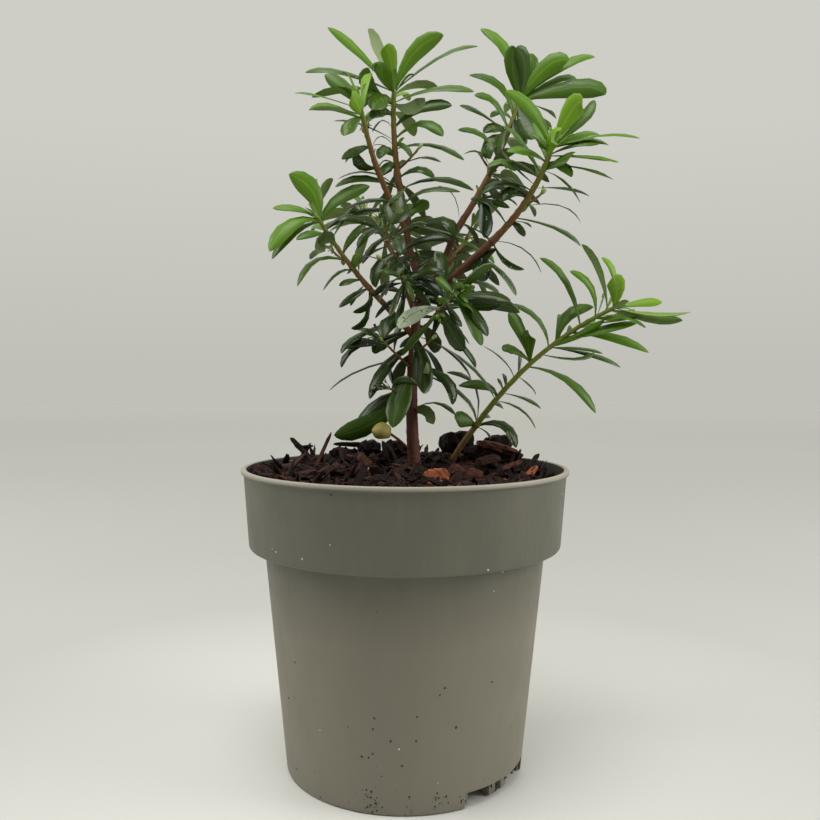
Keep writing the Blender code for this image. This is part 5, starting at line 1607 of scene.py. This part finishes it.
# Larger pieces of the photograph: both ends in its pixels, their depths, the width that shows, the
# thickness, how uneven, and which of the mix's colours
largeChips = {
    "nugget": (440, 443, 473, 441, 35, 37, 10.0, 10.0, 0.24, 0),
    "bark_under": (464, 452, 521, 456, 29, 28, 7.0, 7.0, 0.2, 1),
    "bark": (477, 442, 519, 453, 27, 26, 3.8, 6.0, 0.25, 4),
    "bark_back": (484, 443, 513, 441, 36, 36, 6.0, 7.0, 0.24, 0),
    "stick": (291, 438, 311, 459, 24, 20, 2.4, 2.4, 0.2, 0),
    "stick_fork": (299, 447, 313, 446, 22, 20, 1.3, 1.3, 0.2, 0),
    "red_stick": (331, 433, 311, 477, 6, -8, 1.4, 1.2, 0.2, 3),
    "orange_chip": (424, 477, 449, 476, -26, -26, 5.2, 2.4, 0.3, 5),
    "orange_chip_low": (427, 483, 446, 484, -29, -29, 2.6, 1.6, 0.3, 5),
    "red_slab": (449, 469, 483, 477, -16, -20, 4.6, 3.0, 0.25, 4),
    "sliver": (523, 481, 537, 466, -12, -6, 2.6, 2.0, 0.2, 5),
    "dark_sliver": (527, 469, 539, 454, 6, 12, 2.2, 2.0, 0.2, 0),
    "straw": (285, 461, 307, 461, 15, 12, 0.8, 0.6, 0.2, 6),
    "long_dark": (334, 444, 379, 445, 32, 34, 2.0, 2.0, 0.25, 0),
    "lump_left": (358, 450, 381, 449, 31, 32, 8.0, 9.0, 0.26, 0),
    "lump": (384, 451, 404, 449, 30, 31, 8.5, 9.0, 0.26, 1),
    "lump_low": (330, 455, 352, 453, 28, 28, 6.0, 8.0, 0.26, 1),
    "red_shard": (358, 455, 371, 466, 10, 4, 3.6, 2.0, 0.26, 4),
    "side_shard": (251, 468, 276, 474, 2, -4, 3.4, 2.0, 0.28, 3),
    "front_shard": (353, 468, 374, 487, -12, -22, 3.4, 2.0, 0.26, 2),
    "front_slab": (330, 476, 352, 484, -20, -24, 4.0, 2.0, 0.26, 2),
    "flat_shard": (476, 462, 500, 458, 8, 12, 3.6, 2.0, 0.26, 3),
    "thin_shard": (500, 470, 522, 461, -2, 6, 1.8, 1.4, 0.26, 4),
}
mixColours = (
    ((0.0085, 0.004, 0.0033), 0.7),
    ((0.016, 0.0065, 0.005), 0.7),
    ((0.028, 0.0105, 0.0075), 0.7),
    ((0.046, 0.0175, 0.012), 0.72),
    ((0.095, 0.035, 0.023), 0.75),
    ((0.34, 0.1, 0.045), 0.78),
    ((0.36, 0.24, 0.12), 0.75),
)
mixShares = (0.3, 0.32, 0.22, 0.12, 0.037, 0.002, 0.001)


def mixSkins():
    # Damp bark in plain colours; its fibres are in the bump and in the sheen
    skins = []
    for number, (colour, roughness) in enumerate(mixColours):
        skin, tree, shader = nodesOf(f"bark_chip_{number}", colour, roughness, 0.16)
        addBump(tree, shader, addNoise(tree, 700, 5.0, 0.7, (1, 1, 1.6)), 0.9, 0.4)
        skins.append(skin)
    return skins


def heapHeight(x, y):
    # Rings of the heap, with low waves over it, the sum of three slanting sines, and a bell behind
    # the trunk
    rings = np.array(mix["rings"])
    radius = np.hypot(x, y)
    waves = np.sin(0.31 * x + 0.12 * y) + np.sin(0.17 * y - 0.26 * x + 2) + np.sin(0.43 * y + 0.1 * x + 4)
    level = np.clip((62 - radius) / 12, 0, 1)
    pile = mix["pile"] * np.exp(-(((x - 3) / 38) ** 2) - ((y - 28) / 15) ** 2)
    tilt = mix["tilt"] * np.clip(-x / 50, -0.3, 1)
    return np.interp(radius, rings[:, 0], rings[:, 1]) + (mix["bump"] / 2 * waves + pile) * level + tilt


def turnedAxes(turn, lean, roll):
    # Length, width and depth directions of things turned about Z, raised by lean, rolled about their length
    cosTurn, sinTurn, cosLean, sinLean = np.cos(turn), np.sin(turn), np.cos(lean), np.sin(lean)
    along = np.stack([cosTurn * cosLean, sinTurn * cosLean, sinLean], -1)
    wide = np.stack([-sinTurn, cosTurn, 0 * turn], -1)
    return along, *rolled(wide, np.cross(along, wide), roll)


def chipShapes(middles, sizes, axes, rng, rings=(-0.92, -0.5, 0.15, 0.7, 0.96), sides=6, uneven=0.2):
    # Closed shards: at t along the length the section is a flattened polygon that narrows to both
    # ends as (1 - |t|^4) ^ 0.5, every corner pushed in or out by chance, by a share of its own
    t = np.array(rings)
    turn = turns(sides) + math.pi / sides
    count = len(middles)
    uneven = np.broadcast_to(uneven, count)[:, None, None]
    body = 1 + uneven * rng.uniform(-1, 1, (count, len(t), sides))
    body = np.sqrt(1 - np.abs(t) ** 4)[None, :, None] * body
    wide, deep = (np.sign(way) * np.abs(way) ** 0.6 * body for way in (np.cos(turn), np.sin(turn)))
    ahead = t[None, :, None] + 0.5 * uneven * rng.uniform(-1, 1, wide.shape)
    local = np.stack([ahead, wide, deep], -1).reshape(count, -1, 3)
    tips = np.zeros((count, 2, 3))
    tips[:, 0, 0], tips[:, 1, 0] = -1.0, 1.0
    local = np.concatenate([local, tips], 1) * sizes[:, None] / 2
    points = middles[:, None] + sum(local[..., n : n + 1] * axes[n][:, None] for n in range(3))
    faces = [repeated(kind, count, points.shape[1]) for kind in tubeFaces(len(t), sides)]
    return points.reshape(-1, 3), faces


def buildHeap(skins):
    # The body of the mix: its waved top, its side a hair inside the pot, and its foot
    inside = pot["wall"] + mix["gap"]
    shelf, floor = pot["collarHeight"] + inside, pot["channelHeight"] + inside
    rings = mix["rings"]
    outline = spaced(np.array([
        (0, inside),
        (pot["plateRadius"] - inside - 0.1, inside),
        (pot["plateRadius"] - 0.6, floor),
        (wallRadius(floor) - inside, floor),
        (wallRadius(shelf) - inside, shelf),
        (collarRadius(shelf) - inside, shelf),
        (collarRadius(rings[-1][1]) - inside, rings[-1][1]),
        *rings[::-1][1:],
    ]), 2.5)
    points, quads, ends = turnedSurface(outline, mix["steps"])
    top = points[:, 2] > rings[-1][1] + 0.01
    points[top, 2] = heapHeight(points[top, 0], points[top, 1])
    addPiece("mix_heap", points, [quads, ends], [skins[1]], ["potting_mix"])


def scattered(count, reach, rng):
    # Places on the heap, spread evenly over it, and no nearer to the wall than reach
    radius = np.minimum(mix["reach"] * np.sqrt(rng.random(count)), mix["reach"] - reach)
    turn = rng.uniform(0, math.tau, count)
    x, y = radius * np.cos(turn), radius * np.sin(turn)
    return x, y, heapHeight(x, y)


def addMixPiece(name, points, faces, tones, skins, dull=None):
    # Tones are the colours of the shards; some faces may take the next darker one
    worn = np.concatenate([np.repeat(tones, len(kind) // len(tones)) for kind in faces])
    if dull is not None:
        worn = np.where(dull.random(len(worn)) < 0.25, np.maximum(worn - 1, 0), worn)
    addPiece(name, points, faces, skins, faceSkins=worn, smooth=False)


def buildChips(skins):
    rng = np.random.default_rng(seeds["mix"])
    share = np.array(mixShares) / sum(mixShares)
    # Chips
    count = mix["chips"]
    ranges = (mix["chipLength"], mix["chipWidth"], mix["chipDepth"])
    sizes = np.stack([low + (high - low) * rng.random(count) ** 1.6 for low, high in ranges], 1)
    x, y, z = scattered(count, sizes[:, 0] / 2, rng)
    steep = rng.random(count) < mix["steep"]
    lean = np.radians(np.where(steep, rng.uniform(35, 70, count), rng.uniform(-24, 24, count)))
    roll = np.radians(rng.uniform(-38, 38, count))
    middles = np.stack([x, y, z + rng.uniform(-0.6, 1.5, count)], 1)
    feet = np.array([limb["foot"][:2] for limb in limbs.values() if "ground" in limb])
    gaps = np.linalg.norm(middles[:, None, :2] - feet, axis=-1)
    clear = (gaps > mix["trunkGap"] + sizes[:, 1:2] / 2).all(1)
    axes = [axis[clear] for axis in turnedAxes(rng.uniform(0, math.tau, count), lean, roll)]
    tones = rng.choice(len(share), count, p=share)[clear]
    points, faces = chipShapes(middles[clear], sizes[clear], axes, rng, uneven=0.34)
    addMixPiece("bark_chips", points, faces, tones, skins)
    # Crumbs
    count = mix["crumbs"]
    x, y, z = scattered(count, 1.0, rng)
    middles = np.stack([x, y, z + rng.uniform(0, 2.2, count)], 1)
    out = unit(rng.normal(0, 1, (count, 3)))
    points, faces = crumbShapes(middles, rng.uniform(0.5, 1.5, count), out, rng)
    addMixPiece("mix_crumbs", points, [faces], rng.choice(len(share), count, p=share), skins)
    # Fibres
    count = mix["fibres"]
    sizes = np.stack([rng.uniform(*ends, count) for ends in mix["fibreSizes"]], 1)
    x, y, z = scattered(count, sizes[:, 0] / 2, rng)
    middles = np.stack([x, y, z + rng.uniform(1.2, 2.6, count)], 1)
    turn, lean = rng.uniform(0, math.tau, count), np.radians(rng.uniform(-16, 16, count))
    axes = turnedAxes(turn, lean, rng.uniform(-1, 1, count))
    points, faces = chipShapes(middles, sizes, axes, rng, sides=4, uneven=0.3)
    addMixPiece("mix_fibres", points, faces, rng.choice((2, 3, 4), count), skins)
    # Larger pieces, their broad side to the viewer
    rows = np.array(list(largeChips.values()), float)
    start, end = atPixels(rows[:, 0:2], rows[:, 4]), atPixels(rows[:, 2:4], rows[:, 5])
    along = unit(end - start)
    deep = np.array(view["place"]) - start
    deep = unit(deep - (deep * along).sum(1, keepdims=True) * along)
    sizes = np.stack([np.linalg.norm(end - start, axis=1), rows[:, 6], rows[:, 7]], 1)
    fine = (-0.97, -0.85, -0.6, -0.35, -0.1, 0.15, 0.4, 0.65, 0.87, 0.98)
    axes = (along, np.cross(deep, along), deep)
    points, faces = chipShapes((start + end) / 2, sizes, axes, rng, fine, 10, rows[:, 8])
    addMixPiece("large_chips", points, faces, rows[:, 9].astype(int), skins, rng)


# Floor, light and camera
studio = dict(
    floorRadius=4.0,
    floorDrop=0.0002,  # a hair under the pot
    floorLightAndShade=((0.0, 0.74), (0.12, 0.62), (0.25, 0.5), (0.42, 0.5), (0.75, 0.56), (1.5, 0.7), (3.2, 0.8)),
    floorTint=(1.0, 0.99, 0.94),
    high=(0.615, 0.615, 0.565),  # light of the room behind the plant, above and at the floor
    low=(0.525, 0.525, 0.48),
    above=(0.85, 0.85, 0.8),
    front=(0.22, 0.22, 0.205),
    aim=(0, 0, 0.15),
    sensor=36.0,
)
# Name: place in metres, size, power, colour
lights = {
    "right": ((0.95, -0.2, 0.55), 0.6, 5.3, (1.0, 0.985, 0.95)),
    "left": ((-0.95, 0.0, 0.7), 0.6, 3.8, (1.0, 0.985, 0.96)),
    "top": ((-0.15, -0.3, 1.1), 0.6, 5.5, (1.0, 1.0, 0.98)),
}


def buildFloor(sides=96):
    # A round floor with painted light and shade: pale near the pot, darker further off, and as light as the
    # room where it ends
    turn, radius = turns(sides), studio["floorRadius"]
    points = np.stack([radius * np.cos(turn), radius * np.sin(turn), 0 * turn], 1)
    points = np.concatenate([points, [(0, 0, 0)]]) - [0, 0, studio["floorDrop"]]
    mesh = bpy.data.meshes.new("floor")
    mesh.from_pydata(points.tolist(), [], fanFaces(np.arange(sides), sides).tolist())
    floor = addObject("floor", mesh)
    skin, tree, shader = nodesOf("floor_light_and_shade", studio["floorTint"], 0.5)
    place = addNode(tree, "TexCoord").outputs["Object"]
    reach = addNode(tree, "VectorMath", {0: place}, operation="LENGTH").outputs["Value"]
    tint = np.array(studio["floorTint"])
    # These tones paint the floor's light and shade by distance, not a colour of its own
    tones = [(distance / radius, tuple(tone * tint)) for distance, tone in studio["floorLightAndShade"]]
    colour = addRamp(tree, addMath(tree, "DIVIDE", reach, radius), tones)
    tree.links.new(colour, shader.inputs["Base Color"])
    addBump(tree, shader, addNoise(tree, 60, 3.0, 0.5), 0.05, 0.2)
    mesh.materials.append(skin)


def buildLights():
    # Three soft round lamps, and a room that is lighter above and darker in front
    for name, (place, size, power, colour) in lights.items():
        lamp = bpy.data.lights.new(name, "AREA")
        lamp.shape = "DISK"
        lamp.size = size
        lamp.energy = power
        lamp.color = colour
        shown = addObject(name, lamp)
        shown.location = place
        way = Vector(studio["aim"]) - Vector(place)
        shown.rotation_euler = way.to_track_quat("-Z", "Y").to_euler()
    world = bpy.context.scene.world or bpy.data.worlds.new("studio")
    bpy.context.scene.world = world
    world.use_nodes = True
    tree = world.node_tree
    height, depth = addPlace(tree, "Z", "Generated"), addPlace(tree, "Y", "Generated")
    room = addMix(tree, addRange(tree, height, 0.0, 1.0, 0.0, 0.26), studio["low"], studio["high"])
    room = addMix(tree, addRange(tree, depth, 0.0, 1.0, -0.5, 0.35), studio["front"], room)
    room = addMix(tree, addRange(tree, height, 0.0, 1.0, 0.4, 1.0), room, studio["above"])
    tree.links.new(room, tree.nodes["Background"].inputs["Color"])


def buildCamera():
    right, ahead, up = cameraAxes()
    lens = bpy.data.cameras.new("camera")
    lens.sensor_width = studio["sensor"]
    lens.lens = studio["sensor"] * view["focal"] / view["frame"]
    lens.clip_start = 0.01
    lens.clip_end = 50.0
    camera = addObject("camera", lens)
    turned = Matrix(np.stack([right, up, -ahead], 1).tolist()).to_4x4()
    turned.translation = Vector(view["place"]) * mm
    camera.matrix_world = turned
    bpy.context.scene.camera = camera


# The whole plant
leafPaints, barkPaint, chipPaints = leafSkins(), barkSkin(), mixSkins()
grownLimbs = limbPaths()
grownMasses = growMasses(grownLimbs)
for name, (mass, shoots, leaves) in grownMasses.items():
    print(f"{name}: {len(leaves['length'])} leaves")
buildLimbs(barkPaint)
stalks, drawn = buildFoliage(grownMasses, grownLimbs, leafPaints)
stems = buildShoots(grownMasses)
for number, path in enumerate(stalks):
    seed = seeds["sprigStems"] + number
    stems.append(stemSurface(path, sprigLook["radii"], sprigLook["ripe"], seed, look=stalkLook))
budStalk = stemSurface(footBudStalk(), footBud["radii"], footBud["ripe"], seeds["budStalk"], look=stalkLook)
stems.append(budStalk)
addStems("twigs", stems, barkPaint)
limePaint = nodesOf("lime_spots", (0.55, 0.56, 0.5), 0.9)[0]
buildLimeSpecks(drawn, [limePaint, leafPaints[3 * oldestStage]])
print("plant built")
# The inside of the pot: its own plastic darkened as painted shade
insideShadePaint = nodesOf("pot_inside_painted_shade", (0.05, 0.048, 0.038), 0.6)[0]
soilPaint = nodesOf("soil_specks", (0.03, 0.02, 0.016), 0.9)[0]
fleckPaint = nodesOf("pale_flecks", (0.6, 0.6, 0.55), 0.8)[0]
buildPot(potSkin(), insideShadePaint)
buildSpecks(soilPaint, fleckPaint)
buildHeap(chipPaints)
buildChips(chipPaints)
print("pot and mix built")
buildFloor()
buildLights()
buildCamera()
print("stage built")
bpy.context.scene.view_settings.view_transform = "Standard"
